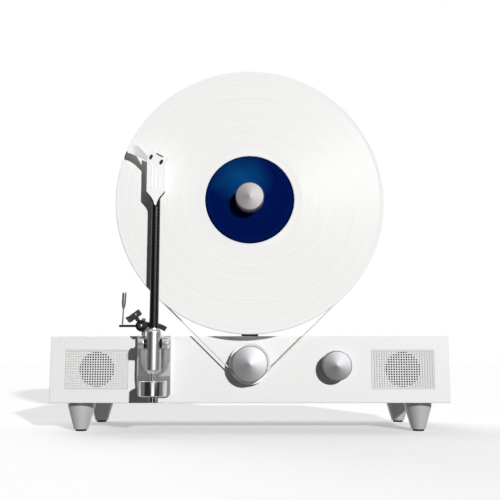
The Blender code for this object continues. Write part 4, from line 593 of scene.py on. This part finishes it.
def make_grille(hand):
    """Perforated sheet: 24 by 15 eight-sided holes on a square grid of about 2.8 mm."""
    low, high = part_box(f"{hand}_grille")
    width, height = high.x - low.x, high.z - low.z
    columns, rows, margin, bridge, corner, largest_hole = 24, 15, 0.001, 0.00048, 0.00052, 4.5e-6
    shape = bmesh.new()
    bmesh.ops.create_grid(shape, x_segments=columns, y_segments=rows, size=0.5)
    bmesh.ops.scale(shape, vec=(width - 2 * margin, height - 2 * margin, 1), verts=shape.verts)
    inner = bmesh.ops.inset_individual(shape, faces=shape.faces[:], thickness=bridge,
                                       use_even_offset=True)
    holes = [f for f in shape.faces if f not in set(inner["faces"])]
    bevel(shape, list({v for f in holes for v in f.verts}), corner, 1, "VERTICES")
    centres = [f for f in shape.faces if len(f.verts) == 8 and f.calc_area() < largest_hole]
    bmesh.ops.delete(shape, geom=centres, context="FACES")

    def on_side(edge, axis, half):
        return all(abs(abs(v.co[axis]) - half) < 0.00001 for v in edge.verts)

    rim = [e for e in shape.edges if e.is_boundary
           and (on_side(e, 0, width / 2 - margin) or on_side(e, 1, height / 2 - margin))]
    for point in only(bmesh.types.BMVert, bmesh.ops.extrude_edge_only(shape, edges=rim)):
        point.co.x *= width / (width - 2 * margin)
        point.co.y *= height / (height - 2 * margin)
    outward(shape)
    bmesh.ops.solidify(shape, geom=shape.faces[:], thickness=high.y - low.y)
    bmesh.ops.remove_doubles(shape, verts=shape.verts, dist=TOUCHING)
    shift(outward(shape), (0, 0, -min(v.co.z for v in shape.verts)))
    piece(f"{hand}_grille_mesh", shape, POWDER,
          ((low.x + high.x) / 2, high.y, (low.z + high.z) / 2), FRONT, f"{hand}_grille")


# Record, clamp, platter
def make_record():
    """The record, its label a hair above it, and the clamp on top of that."""
    hole, back, top = 0.00385, 0.0178, 0.0196
    play, run_out, grooves = top - 0.0003, top - 0.00015, top - 0.00022
    disc = [(hole, play), (0.0503, play), (0.0507, top), (0.052, top), (0.0526, run_out),
            (0.0588, run_out), (0.0592, grooves), (0.1462, grooves), (0.1474, top),
            (0.15, top), (0.1506, top - 0.0004), (0.1508, top - 0.0009),
            (0.1506, back + 0.0004), (0.15, back), (hole, back)]
    turned("record_disc", disc, 0.0001, 256, VINYL, ON_SPINDLE, node="record", body="platter")
    face = play + 2 * GAP
    label = [(hole, face), (0.0163, face), (0.0166, face - 0.00008), (0.017, face),
             (0.0497, face), (0.05, face - 0.0001), (0.05, face - GAP), (hole, face - GAP)]
    turned("record_label_disc", label, 0, 160, LABEL, ON_SPINDLE, node="record_label",
           body="platter")
    seat, radius = play + 3 * GAP, 0.0157
    rim, bore = seat + 0.0165, seat + 0.0128
    clamp = [(0, rim + 0.0032), (0.0012, rim + 0.003), (0.0149, rim + 0.0007),
             (radius, rim - 0.0002), (radius, seat + 0.0112), (0.0153, seat + 0.0109),
             (0.0153, seat + 0.0103), (radius, seat + 0.01), (radius, seat + 0.0008),
             (0.0152, seat), (hole, seat), (hole, bore), (0, bore)]
    turned("clamp_body", clamp, 0.00035, 128, SPUN_CLAMP, ON_SPINDLE, node="record_clamp",
           body="clamp")


def make_platter():
    """The platter with its belt groove, and the spindle through it."""
    face, back, bore, pin_radius, hub, seat = 0.0175, 0.0035, 0.0045, 0.00355, 0.0042, 0.0032
    edge, root = PLATTER_RADIUS - 0.0008, PLATTER_RADIUS - 2 * GAP - BELT_RADIUS
    disc = [(bore, face), (edge, face), (PLATTER_RADIUS, face - 0.0008),
            (PLATTER_RADIUS, 0.0108), (root, 0.0105), (root, 0.0083), (PLATTER_RADIUS, 0.008),
            (PLATTER_RADIUS, back + 0.0008), (edge, back), (0.062, back),
            (0.0615, back + 0.0012), (0.0585, back + 0.0012), (0.058, back), (bore, back)]
    turned("platter_disc", disc, 0.0003, 224, ABS, ON_SPINDLE, node="platter", body="platter")
    tip, end = reaches("spindle")
    pin = [(0, tip), (0.0012, tip - 0.0001), (0.0026, tip - 0.0008), (0.0034, tip - 0.0022),
           (pin_radius, tip - 0.0032), (pin_radius, face), (hub, face - 0.0001), (hub, seat),
           (0.011, seat), (0.011, seat - 0.0009), (hub, seat - 0.0009), (hub, end + 0.0022),
           (0.0064, end + 0.0022), (0.0064, end), (0, end)]
    turned("spindle_pin", pin, 0.0001, 48, SHINY, ON_SPINDLE, node="spindle", body="platter")


def make_column():
    """The black upright with its round head, flange and studs, and the bearing housing."""
    setback, depth, flange_back = 0.012, 0.014, 0.0263
    centre = -setback - depth / 2
    foot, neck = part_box("support_column")[0].z + 0.003, SPINDLE - 0.0215
    bar = block((0.019, depth, neck - foot), (0, FACE - centre, (neck + foot) / 2), 0.0012, 3)
    head = lathe(band(0.0203, 0.0265, depth / 2, -depth / 2), 0.001, 96)
    flange_top = BASE_TOP - 0.009 - GAP
    shells = [bar, shift(head, front(0, SPINDLE, centre), FRONT),
              block((0.058, 0.034, 0.0055), front(0, flange_top - 0.00275, -flange_back))]
    for x in (-0.0215, 0.0215):
        for y in (-0.0095, 0.0095):
            stud = lathe(band(0, 0.0025, 0.006, -0.002), 0, 16)
            shells.append(shift(stud, front(x, flange_top, -flange_back - y)))
    piece("column_post", joined(*shells), BLACK_METAL, node="support_column")
    nose, tail = reaches("bearing_housing")
    seat = GAP - setback
    housing = [(0.0083, nose), (0.014, nose), (0.014, seat + 0.004), (0.0255, seat + 0.004),
               (0.0255, seat), (0.02, seat), (0.02, tail), (0.0083, tail)]
    turned("bearing_barrel", housing, 0.0004, 96, ALUMINIUM, ON_SPINDLE, node="bearing_housing")


# Drive and knob
def make_drive():
    """The pulley with its cone-faced cap, and the belt on its real route."""
    face, back = reaches("drive_pulley")
    groove, flange = face - 0.0036, 0.0228
    wheel = [(0.0018, face), (0.0183, face), (GROOVE_RADIUS, groove), (flange, groove + 0.0002),
             (flange, back), (0.0018, back)]
    turned("pulley_wheel", wheel, 0.0003, 128, TURNED_WHEEL, ON_PULLEY, node="drive_pulley",
           body="pulley")
    tip, back = reaches("pulley_cap")
    rim = tip - 0.0036
    cap = [(0, tip), (0.0014, tip - 0.00022), (0.019, rim + 0.0001), (0.0198, rim - 0.0006),
           (0.0198, back), (0, back)]
    turned("pulley_cone", cap, 0.0003, 128, SPUN_PULLEY, ON_PULLEY, node="pulley_cap",
           body="pulley")
    big, small = PLATTER_RADIUS - GAP, GROOVE_RADIUS + GAP + BELT_RADIUS
    lean = asin((big - small) / (SPINDLE - PULLEY))
    route = arc((0, SPINDLE), big, -lean, pi + lean, 120)
    route += arc((0, PULLEY), small, pi + lean, 2 * pi - lean, 40)
    curve = bpy.data.curves.new("belt_route", "CURVE")
    curve.dimensions, curve.bevel_depth, curve.bevel_resolution = "3D", BELT_RADIUS, 3
    line = curve.splines.new("POLY")
    line.points.add(len(route) - 1)
    line.use_cyclic_u = True
    for point, (x, height) in zip(line.points, route):
        point.co = (*front(x, height, 0.0094), 1)
    guide = bpy.data.objects.new("belt_route", curve)
    mesh = bpy.data.meshes.new_from_object(guide)
    bpy.data.objects.remove(guide)
    shape = bmesh.new()
    shape.from_mesh(mesh)
    bpy.data.meshes.remove(mesh)
    piece("belt_loop", outward(shape), BELT, node="drive_belt", smooth=radians(60))


def make_knob():
    """The volume knob, with a blind bore for its shaft."""
    tip, back = reaches("volume_knob")
    rim, radius, bore = tip - 0.0028, 0.0163, 0.0023
    knob = [(0, tip), (0.0012, tip - 0.0002), (0.0156, rim + 0.0003), (radius, rim - 0.0003),
            (radius, back + 0.0006), (0.0158, back), (bore, back), (bore, back + 0.0095),
            (0, back + 0.0095)]
    turned("volume_dial", knob, 0.0003, 128, SPUN_KNOB, facing("volume_knob"),
           node="volume_knob", body="knob")


# Rear fittings
def make_rear():
    """The power inlet with its pin, and the switch's frame and rocker."""
    at = middle("power_inlet")
    at.y = BACK_FACE
    well, wide = 0.0033, 0.0078
    inlet = [(0, -0.0095), (0.0012, -0.0095), (well, -0.0095), (well, 0.0009), (0.0039, 0.0017),
             (0.0072, 0.0017), (wide, 0.0012), (wide, GAP), (0.0052, GAP), (0.0052, -0.012),
             (0, -0.012)]
    turned("inlet_socket", inlet, 0.0002, 48, BLACK_PLASTIC, at, BACK, node="power_inlet")
    pin = [(0, -0.0015), (0.0006, -0.0018), (0.00085, -0.0026), (0.00085, -0.0096),
           (0, -0.0096)]
    turned("inlet_centre_pin", pin, 0, 20, SHINY, at, BACK)
    low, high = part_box("switch_frame")
    at = middle("switch_frame")
    width, height, wall, lip = 0.0135, 0.019, 0.0011, 0.0014
    depth = high.y - low.y - lip
    inner = rectangle(width / 2, height / 2)
    well = rectangle(width / 2 - wall, height / 2 - wall)
    outer = rectangle((high.x - low.x) / 2, (high.z - low.z) / 2)
    bezel = soften(plate(outer, lip, (well,)), 0.0003)
    sides = shift(plate(inner, depth - wall, (well,)), (0, 0, wall - depth))
    floor = shift(plate(inner, wall), (0, 0, -depth))
    piece("switch_bezel", joined(bezel, sides, floor), BLACK_PLASTIC,
          (at.x, high.y - lip, at.z), BACK, "switch_frame")
    width, thick, tall = width - 2 * wall - 2 * GAP, 0.0062, height - 2 * wall - 0.002
    ridges = [block((width * 0.7, 0.0004, 0.0005),
                    (0, thick / 2 - 0.0001, tall / 2 - 0.0022 - i * 0.0012), 0.00015)
              for i in range(3)]
    key = joined(block((width, thick, tall), edge=0.0007, segments=3), *ridges)
    piece("rocker_key", key, BLACK_PLASTIC, (at.x, BACK_FACE, at.z),
          Matrix.Rotation(radians(9), 4, "X"), "power_rocker", "rocker")


# Tonearm
def make_armboard():
    """The mounting block: flat above, thinner towards its lower end, with two socket bolts,
    and the swing bearing in front of it."""
    low, corner, half, taper, thinner = -0.0671, 0.0045, 0.0184, 0.023, 0.005
    outline = [(half, 0), (-half, 0)]
    outline += arc((-half + corner, low + corner), corner, pi, 3 * pi / 2, 10)
    outline += arc((half - corner, low + corner), corner, 3 * pi / 2, 2 * pi, 10)
    shape = plate(outline, BLOCK_DEPTH)
    lean = atan2(thinner, taper)
    cut = split(shape, (0, low + taper, BLOCK_DEPTH), (0, -sin(lean), cos(lean)),
                clear_outer=True)
    bmesh.ops.contextual_create(shape, geom=only(bmesh.types.BMEdge, cut, "geom_cut"))
    soften(outward(shape), 0.0006, 3, radians(8))
    piece("armboard_block", shape, ALUMINIUM, front(middle("armboard").x, BASE_TOP, GAP), FRONT,
          "armboard")
    for hand, _ in HANDS:
        node = f"armboard_bolt_{hand}"
        top, end = reaches(node)
        bolt = [(0, top - 0.0011), (0.0016, top - 0.0009), (0.0016, top), (0.0034, top),
                (0.0034, top - 0.0018), (0.002, top - 0.0018), (0.002, end), (0, end)]
        turned(f"block_bolt_{hand}", bolt, 0.0002, 36, ZINC, facing(node), node=node)
    top, end = reaches("swing_bearing")
    race = [(0.0033, top), (0.0105, top), (0.011, top - 0.0005), (0.011, top - 0.0021),
            (0.008, top - 0.0021), (0.008, end), (0.0033, end)]
    turned("swing_race", race, 0.0003, 72, ZINC, ON_PIVOT, node="swing_bearing")


def make_yoke():
    """The gimbal fork with its two bosses, and the pivot screws with black locknuts."""
    half, top, drop, thick = 0.0165, 0.006, 0.0172, 0.004
    back = GAP + BLOCK_DEPTH + 0.0021 + 0.0006
    outline = [(half, top), (-half, top)] + arc((0, -drop), half, pi, 2 * pi, 40)
    fork = soften(plate(outline, thick), 0.0005)
    shells = [shift(fork, front(ARM_X, ARM_Z, back), FRONT)]
    length = ARM_REACH - back - thick / 2
    for _, side in HANDS:
        cheek = block((0.0055, length, 0.0095),
                      front(ARM_X + side * 0.01275, ARM_Z, ARM_REACH - length / 2), 0.0006, 3)
        start, end = sorted((0.0097 * side, 0.0158 * side))
        boss = lathe(band(0.0026, 0.0065, end, start), 0.0005, 56)
        shells += [cheek, shift(boss, ON_ARM, RIGHT)]
    nose, shoulder = back + thick + 0.0014, back + thick - 0.001
    hub = lathe([(0, nose), (0.0052, nose), (0.0052, shoulder), (0.003, shoulder),
                 (0.003, 0.0009), (0, 0.0009)], 0.0003, 48)
    shells.append(shift(hub, ON_PIVOT, FRONT))
    piece("yoke_fork", joined(*shells), POLISHED, node="yoke", body="yoke")
    nut, end, tip = 0.0094, 0.0164, 0.0062
    screw = [(0, end - 0.0006), (0.0011, end - 0.0006), (0.0011, end), (0.0022, end),
             (0.0022, 0.0084), (0.0009, 0.0084), (0.0009, tip + 0.0008), (0, tip)]
    for hand, side in HANDS:
        turn = Matrix.Rotation(side * pi / 2, 4, "Y")
        turned(f"pivot_pin_{hand}", screw, 0.0001, 36, SHINY, ON_ARM, turn,
               node=f"pivot_screw_{hand}", body="yoke")
        turned(f"pivot_locknut_{hand}", band(0.0023, 0.005, nut, nut - 0.001), 0.0002, 40,
               BLACK_ANODISED, ON_ARM, turn, body="yoke")


def make_arm():
    """Sleeve, tube, rod, counterweight and end cap on one centre line."""
    barrel, socket, bore = 0.008, 0.0053, 0.00295
    sleeve = [(0, 0.0003), (socket, 0.0003), (socket, 0.0163), (0.0057, 0.0163),
              (0.0058, 0.015), (0.0066, 0.0139), (0.0077, 0.0128), (barrel, 0.0112),
              (barrel, -0.0285), (0.0048, -0.0323), (bore, -0.0323), (bore, -0.0248),
              (0, -0.0248)]
    turned("sleeve_barrel", sleeve, 0.0004, 72, TURNED_ARM, ON_ARM, UP, node="arm_sleeve",
           body="arm")
    up, down = rises("arm_tube")
    tube = [(0.0036, up), (0.0046, up), (0.005, down), (0.004, down)]
    turned("tube_shaft", tube, 0, 48, CARBON, ON_ARM, UP, node="arm_tube", body="arm")
    turned("weight_rod", band(0, 0.00265, *rises("counterweight_rod")), 0.0002, 36, TURNED_WEIGHT,
           ON_ARM, UP, node="counterweight_rod", body="arm", slot="polished_steel")
    up, down = rises("counterweight")
    low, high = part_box("counterweight")
    radius, edge = (high.x - low.x) / 2, 0.0006
    weight = [(bore, up), (radius - edge, up), (radius, up - edge), (radius, down + edge),
              (radius - edge, down), (bore, down)]
    turned("weight_drum", weight, 0.0002, 96, TURNED_WEIGHT, ON_ARM, UP, node="counterweight",
           body="counterweight")
    up, down = rises("rod_end_cap")
    cap = [(0, up - 0.004), (bore, up - 0.004), (bore, up), (0.0039, up), (0.0039, down),
           (0, down)]
    turned("rod_cap", cap, 0.0003, 40, DARK_CHROME, ON_ARM, UP, node="rod_end_cap", body="arm")


def shell_point(across, along):
    """A point of the cartridge's own frame, turned by the offset angle, from the pivot."""
    return (across * cos(OFFSET) + along * sin(OFFSET),
            SHELL_RISE - across * sin(OFFSET) + along * cos(OFFSET))


def by_shell(across, along, reach):
    """Such a point in the part's frame, at a reach."""
    x, rise = shell_point(across, along)
    return front(ARM_X + x, ARM_Z + rise, reach)


def make_headshell():
    """The white headshell with slots, ribs and finger lift, and the cartridge behind it."""
    back, thick, half = ARM_REACH + 0.0046 + 2 * GAP, 0.0025, 0.0098
    nose_left, nose_right = shell_point(-half, 0.008), shell_point(half, 0.008)
    root_low = shell_point(-half, 0)[1] - 0.0064
    neck = [(half, 0.1657), (half * 0.93, 0.1644), (half * 0.5, 0.1597), (half * 0.22, 0.155),
            (0.0008, 0.1503)]
    outline = [nose_right, (-half, nose_left[1]), (-half, root_low)]
    outline += [(-x, y) for x, y in neck] + neck[::-1] + [(half, nose_right[1] - 0.009)]
    slots = [[shell_point(side * SLOT_SIDE + x, y) for x, y in oblong(0.0017, 0.0013, 10)]
             for _, side in HANDS]
    sight = arc((0.005, 0.0061), 0.0007, -pi / 2, pi / 2, 8)
    sight += arc((-0.0026, 0.0061), 0.0007, pi / 2, 3 * pi / 2, 8)
    slots.append([shell_point(*point) for point in sight])
    deck = soften(plate(outline, thick, slots), 0.0003, 2, radians(20))
    at = front(ARM_X, ARM_Z, back)
    shells = [shift(deck, at, FRONT)]
    rib_foot = 0.169
    for x, top in ((-0.0046, 0.195), (-0.0004, 0.19), (0.0041, 0.184)):
        rib = block((0.001, top - rib_foot, 0.0012), (x, (top + rib_foot) / 2, thick), 0.0003)
        shells.append(shift(rib, at, FRONT))
    socket = lathe(band(0.0045, 0.0062, 0.014, 0), 0.0004, 56)
    shells.append(shift(socket, front(ARM_X, ARM_Z + 0.1657, ARM_REACH)))
    piece("shell_deck", joined(*shells), ENAMEL, node="headshell", body="arm")
    # Painted shade: a black plate behind the sight slot, so that the gap under the nose looks
    # dark, as the shade in it would
    sight_shade_outline = [shell_point(x, y) for x, y in ((-0.0036, 0.0051), (0.006, 0.0051),
                                             (0.006, 0.0071), (-0.0036, 0.0071))]
    piece("sight_slot_painted_shade", plate(sight_shade_outline, 0.0007), BLACK_PLASTIC,
          front(ARM_X, ARM_Z, back - 0.0001), FRONT, body="arm")
    # A black plate a little wider than the neck, so that a dark edge shows along both sides of the
    # waist
    flank = [(half + 0.0002, 0.1668), (half * 0.93 + 0.0009, 0.1642),
             (half * 0.5 + 0.0011, 0.1592), (half * 0.22 + 0.0011, 0.1544), (0.003, 0.15)]
    neck_edge_plate = plate(flank + [(-x, y) for x, y in reversed(flank)], 0.0006)
    piece("neck_dark_edge", neck_edge_plate, BLACK_ANODISED, front(ARM_X, ARM_Z, back - 0.0007), FRONT,
          body="arm")
    finger(root_low, half, back)
    offset = Matrix.Rotation(OFFSET, 4, "Y")
    for hand, side in HANDS:
        # Painted shade: black plates fill the cartridge slots, standing for the shade seen through
        # them
        fill = 0.92
        slot_shade = plate([(fill * a, fill * b) for a, b in oblong(0.0017, 0.0013, 8)], 0.0009)
        piece(f"slot_painted_shade_{hand}", slot_shade, BLACK_PLASTIC,
              by_shell(side * SLOT_SIDE, 0, back + 0.0001), offset @ FRONT, body="arm")
        node = f"cartridge_screw_{hand}"
        top, end = reaches(node)
        screw = [(0, top - 0.0006), (0.0006, top - 0.0006), (0.0006, top), (0.00105, top),
                 (0.00135, top - 0.0003), (0.00135, top - 0.00095), (0.0011, top - 0.00095),
                 (0.0011, end), (0, end)]
        turned(f"shell_screw_{hand}", screw, 0, 24, BLACK_CHROME, facing(node), node=node,
               body="arm")
    make_cartridge(back - GAP, offset)


def make_cartridge(body_front, offset):
    """The cartridge's body, and the stylus with its holder."""
    depth, holder_depth, stylus_ahead, record_front = 0.012, 0.0022, 0.21 - SHELL_RISE, 0.0196
    piece("cartridge_body", block((0.016, depth, 0.0172), edge=0.0009, segments=3), ABS,
          by_shell(0, 0.0092 - 0.0086, body_front - depth / 2), offset, "cartridge", "arm")
    stylus_front = body_front - depth - GAP
    holder = block((0.009, holder_depth, 0.011), segments=3)
    shift(holder, by_shell(0, stylus_ahead - 0.0055 + 0.0008, stylus_front - holder_depth / 2),
          offset)
    reach = stylus_front - holder_depth - record_front - GAP
    needle = lathe([(0, 0), (0.00012, 0), (0.0004, reach * 0.5), (0.0004, reach + 0.001),
                    (0, reach + 0.001)], 0, 16)
    shift(needle, by_shell(0, stylus_ahead, record_front + GAP), FRONT)
    piece("stylus_holder", joined(holder, needle), BLACK_PLASTIC, node="stylus", body="arm")


def finger(root_low, half, back):
    """The finger lift: a thin blade that sweeps out and up, and bends back towards the record.
    Its outline is drawn in shares of its length outwards and of its rise or tip upwards."""
    length, root, rise, tip, tip_height, bend = 0.0232, 0.0071, 0.0141, 0.01, 0.0112, 0.0075
    upper = [(0, 0), (0.09, 0.14), (0.18, 0.34), (0.3, 0.57), (0.43, 0.79), (0.56, 0.93),
             (0.72, 0.98), (0.9, 1), (1, 0.97)]
    lower = [(1, 0.06), (0.93, 0), (0.85, -0.02), (0.6, -0.25), (0.4, -0.46), (0.2, -0.69),
             (0, -0.93)]
    outline = [(-half - length * out, root_low + root + rise * up) for out, up in upper]
    outline += [(-half - length * out, root_low + root + rise - tip + tip_height * up)
                for out, up in lower]
    outline += [(-half + 0.002, root_low + 0.0008), (-half + 0.002, root_low + root)]
    blade = plate(outline, 0.001)
    for share in (0.08, 0.2, 0.35, 0.5, 0.6, 0.7, 0.8):
        split(blade, (-half - length * share, 0, 0), (1, 0, 0))
    soften(blade, 0.0004, 2, radians(30))
    for point in blade.verts:
        out = min(1.0, max(0.0, (-half - point.co.x) / length / 0.7))
        point.co.z -= bend * out * (1.3 - 0.3 * out)
    piece("finger_lift", blade, ENAMEL, front(ARM_X, ARM_Z, back + 0.001), FRONT, body="arm")


# Arm lift and rest
def make_lift():
    """The lift's barrel on its post, the curved bar with its pin, the lever, and the clip."""
    x, z = middle("lift_body").x, middle("lift_body").z
    top, wide, bore = 0.024, 0.0064, 0.0023
    end = top - 0.0215
    body = [(bore, top), (0.0058, top), (wide, top - 0.0006), (wide, top - 0.006),
            (0.0061, top - 0.0063), (0.0061, top - 0.0069), (wide, top - 0.0072),
            (wide, end + 0.0005), (0.0059, end), (0, end), (0, end + 0.009), (bore, end + 0.009)]
    turned("lift_barrel", body, 0.0003, 72, BLACK_ANODISED, front(x, z), ring=False,
           node="lift_body")
    low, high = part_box("lift_post")
    turned("lift_stem", band(0, 0.00225, high.z, low.z), 0.0003, 36, SHINY,
           front(x, 0, 0.0052), UP, node="lift_post")
    pin_front, thick, radius, half = top + 3 * GAP, 0.0022, 0.034, 0.0027
    centre, left, right = (-0.0057, -0.0135), radians(21), radians(32)
    outline = arc(centre, radius + half, pi / 2 + left, pi / 2 - right, 36)
    outline += arc(centre, radius - half, pi / 2 - right, pi / 2 + left, 36)
    bar = shift(soften(plate(outline, thick), 0.0005, 3), front(ARM_X, ARM_Z, pin_front), FRONT)
    screw = [(0, -0.0002), (0.0006, -0.0002), (0.0006, 0.0002), (0.0012, 0.0002),
             (0.0014, 0.0001), (0.0014, -0.0004), (0, -0.0004)]
    turned("lift_bar_screw", screw, 0, 24, SHINY, front(x, z, pin_front + thick),
           body="lift_bar")
    pin = lathe(band(0, 0.002, pin_front + 0.0012, pin_front - 0.0068), 0, 32)
    piece("lift_arch", joined(bar, shift(pin, front(x, z), FRONT)), RUBBER, node="lift_bar",
          body="lift_bar", slot="black_metal")
    low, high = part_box("lever_shaft")
    depth = middle("lever_shaft").y
    turned("lever_axle", band(0, 0.0013, high.x - low.x, 0), 0.0003, 28, BLACK_ANODISED,
           (low.x, depth, z), RIGHT, node="lever_shaft", body="cue_lever")
    base, top, grip, stem = 0.0016, 0.0376, 0.0025, 0.00085
    handle = [(0, top), (0.0018, top - 0.0001), (grip, top - 0.001), (grip, top - 0.0125),
              (0.0018, top - 0.017), (0.00095, top - 0.0195), (stem, top - 0.02),
              (stem, base), (0, base)]
    turned("lever_grip", handle, 0.0005, 40, SHINY, (ARM_X - 0.0367, depth, z),
           Matrix.Rotation(radians(2.4), 4, "Y"), node="lever_handle", body="cue_lever")
    make_clip(x, z)


def make_clip(lift_x, lift_z):
    """The parking clip: a saddle with a hooked end on a short stalk, and its screw."""
    angle, from_pivot = radians(36), 0.0374
    across, away = Vector((cos(angle), 0, sin(angle))), Vector((-sin(angle), 0, cos(angle)))
    turn = Matrix.Rotation(-angle, 4, "Y")
    saddle, bed_depth, hook = ARM_REACH - 0.005 - 0.0006, 0.0042, 0.009 - 0.0013
    centre = ON_PIVOT + away * from_pivot
    ahead = Vector((0, -1, 0))
    bed = shift(block((0.0165, bed_depth, 0.0066), (-0.00075, 0, 0), 0.0008, 3),
                centre + ahead * (saddle - bed_depth / 2), turn)
    claw = shift(block((0.0026, 0.0092, 0.0066), edge=0.0007, segments=3),
                 centre - across * hook + ahead * (saddle + 0.005 - 0.0046), turn)
    to_x, to_z = lift_x - centre.x, lift_z - centre.z
    span = hypot(to_x, to_z)
    stalk = span - 0.0064 - GAP
    half_way = Vector((to_x, 0, to_z)) * (stalk / span / 2)
    neck = shift(block((0.0042, 0.006, stalk)),
                 centre + half_way + ahead * (saddle - bed_depth - 0.003 + 0.002),
                 Matrix.Rotation(atan2(to_x, to_z), 4, "Y"))
    piece("rest_clip", joined(bed, claw, neck), BLACK_PLASTIC, node="arm_rest_clip")
    screw = [(0, 0.0002), (0.0005, 0.0002), (0.0005, 0.0007), (0.001, 0.0007),
             (0.0013, 0.0004), (0.0013, -0.0003), (0, -0.0003)]
    turned("clip_screw", screw, 0, 20, SHINY, centre + across * 0.002 + ahead * saddle)


# Camera, light and floor
def studio(tree, way):
    """What polished metal mirrors: a soft window in front and a little to the right, a low
    strip light under it, pale sides, ceiling, floor and background, and a dim room between.
    Bearings are degrees from the front, -Y, towards +X."""
    x, y, rise = way
    bearing = calc(tree, "ARCTAN2", x, calc(tree, "MULTIPLY", y, -1.0))

    def ease(value, start, end, low=0.0, high=1.0):
        return ramp(tree, value, start, end, low, high, interpolation_type="SMOOTHSTEP")

    def panel(left, right, bottom, top, glow):
        """A light panel between two bearings and two heights, with soft edges."""
        for value, start, end in ((bearing, radians(left), radians(left + 3)),
                                  (bearing, radians(right), radians(right - 3)),
                                  (rise, bottom, bottom + 0.01), (rise, top, top - 0.01)):
            glow = calc(tree, "MULTIPLY", glow, ease(value, start, end))
        return glow

    side = calc(tree, "ABSOLUTE", bearing)
    total = panel(-17, 48, -0.027, 0.9, 0.5)
    for other in (panel(-5, 22, -0.2, -0.017, 1.35),
                  ease(side, radians(56), radians(72), 0.03, 0.2), ease(y, 0.3, 0.75),
                  ease(rise, 0.45, 0.8, 0.0, 0.8), ease(rise, -0.2, -0.4, 0.0, 0.4)):
        total = calc(tree, "MAXIMUM", total, other)
    return total


def either(tree, factor, first, second):
    """One shader, or the other where the factor is 1."""
    return add(tree, "MixShader", {0: factor, 1: first.outputs[0], 2: second.outputs[0]})


def make_world():
    """White for the camera, the studio for mirrors, and for all else a soft light from behind
    the player and hardly any from in front."""
    world = bpy.data.worlds.new("studio")
    bpy.context.scene.world = world
    world.use_nodes = True
    tree = world.node_tree
    tree.nodes.clear()
    path = add(tree, "LightPath").outputs
    way = add(tree, "SeparateXYZ", {"Vector": add(tree, "TexCoord").outputs["Generated"]}).outputs
    mirrored = calc(tree, "MAXIMUM", path["Is Glossy Ray"], path["Is Transmission Ray"])
    room, mirror, white = (
        add(tree, "Background", {"Color": linear("#FFFFFF"), "Strength": strength})
        for strength in (ramp(tree, way["Y"], -0.05, 0.3, 0.02, 0.75), studio(tree, way), 1.0))
    both = either(tree, path["Is Camera Ray"], either(tree, mirrored, room, mirror), white)
    tree.links.new(both.outputs[0], add(tree, "OutputWorld").inputs["Surface"])


def make_floor():
    """A pale floor for the camera, greyer for light that bounces, and clear for mirrors."""
    shape = bmesh.new()
    bmesh.ops.create_grid(shape, x_segments=1, y_segments=1, size=6)
    mesh = bpy.data.meshes.new("floor")
    shape.to_mesh(mesh)
    shape.free()
    floor = show("floor", mesh)
    floor.location.z = cad_low.z
    material = bpy.data.materials.new("pale_floor")
    material.use_nodes = True
    tree = material.node_tree
    tree.nodes.clear()
    path = add(tree, "LightPath").outputs
    bounce, seen = (add(tree, "BsdfDiffuse", {"Color": linear(c)}) for c in ("#5C5C5C", "#D6D6D6"))
    glow = add(tree, "Emission", {"Color": linear("#FFFFFF"), "Strength": 0.42})
    lit = add(tree, "AddShader", {0: seen.outputs[0], 1: glow.outputs[0]})
    sent = either(tree, path["Is Glossy Ray"], bounce, add(tree, "BsdfTransparent"))
    both = either(tree, path["Is Camera Ray"], sent, lit)
    tree.links.new(both.outputs[0], add(tree, "OutputMaterial").inputs["Surface"])
    mesh.materials.append(material)


def make_stage():
    """The photograph's camera, 0.835 m in front of the face and looking up by 8.2 degrees, the
    sun from the upper right, and a weak one from behind."""
    camera = show("camera", bpy.data.cameras.new("camera"))
    camera.location = (0.00023, FACE - 0.8352, 0.0829)
    camera.rotation_euler = (pi / 2 + 0.1433, 0, 0)
    camera.data.lens, camera.data.sensor_width = 53.34, 36
    bpy.context.scene.camera = camera
    for name, travel, strength, angle in (("key_light", (-0.44, 1, -0.35), 3.24, 2.0),
                                          ("back_light", (0.6, -0.8, -0.6), 1.2, 50)):
        lamp = bpy.data.lights.new(name, "SUN")
        lamp.energy, lamp.angle = strength, radians(angle)
        holder = show(name, lamp)
        holder.rotation_euler = Vector(travel).to_track_quat("-Z", "Y").to_euler()
    make_world()
    make_floor()
    bpy.context.scene.view_settings.view_transform = "Standard"


make_cabinet()
make_feet()
for hand, _ in HANDS:
    make_grille(hand)
make_record()
make_platter()
make_column()
make_drive()
make_knob()
make_rear()
make_armboard()
make_yoke()
make_arm()
make_headshell()
make_lift()
make_stage()
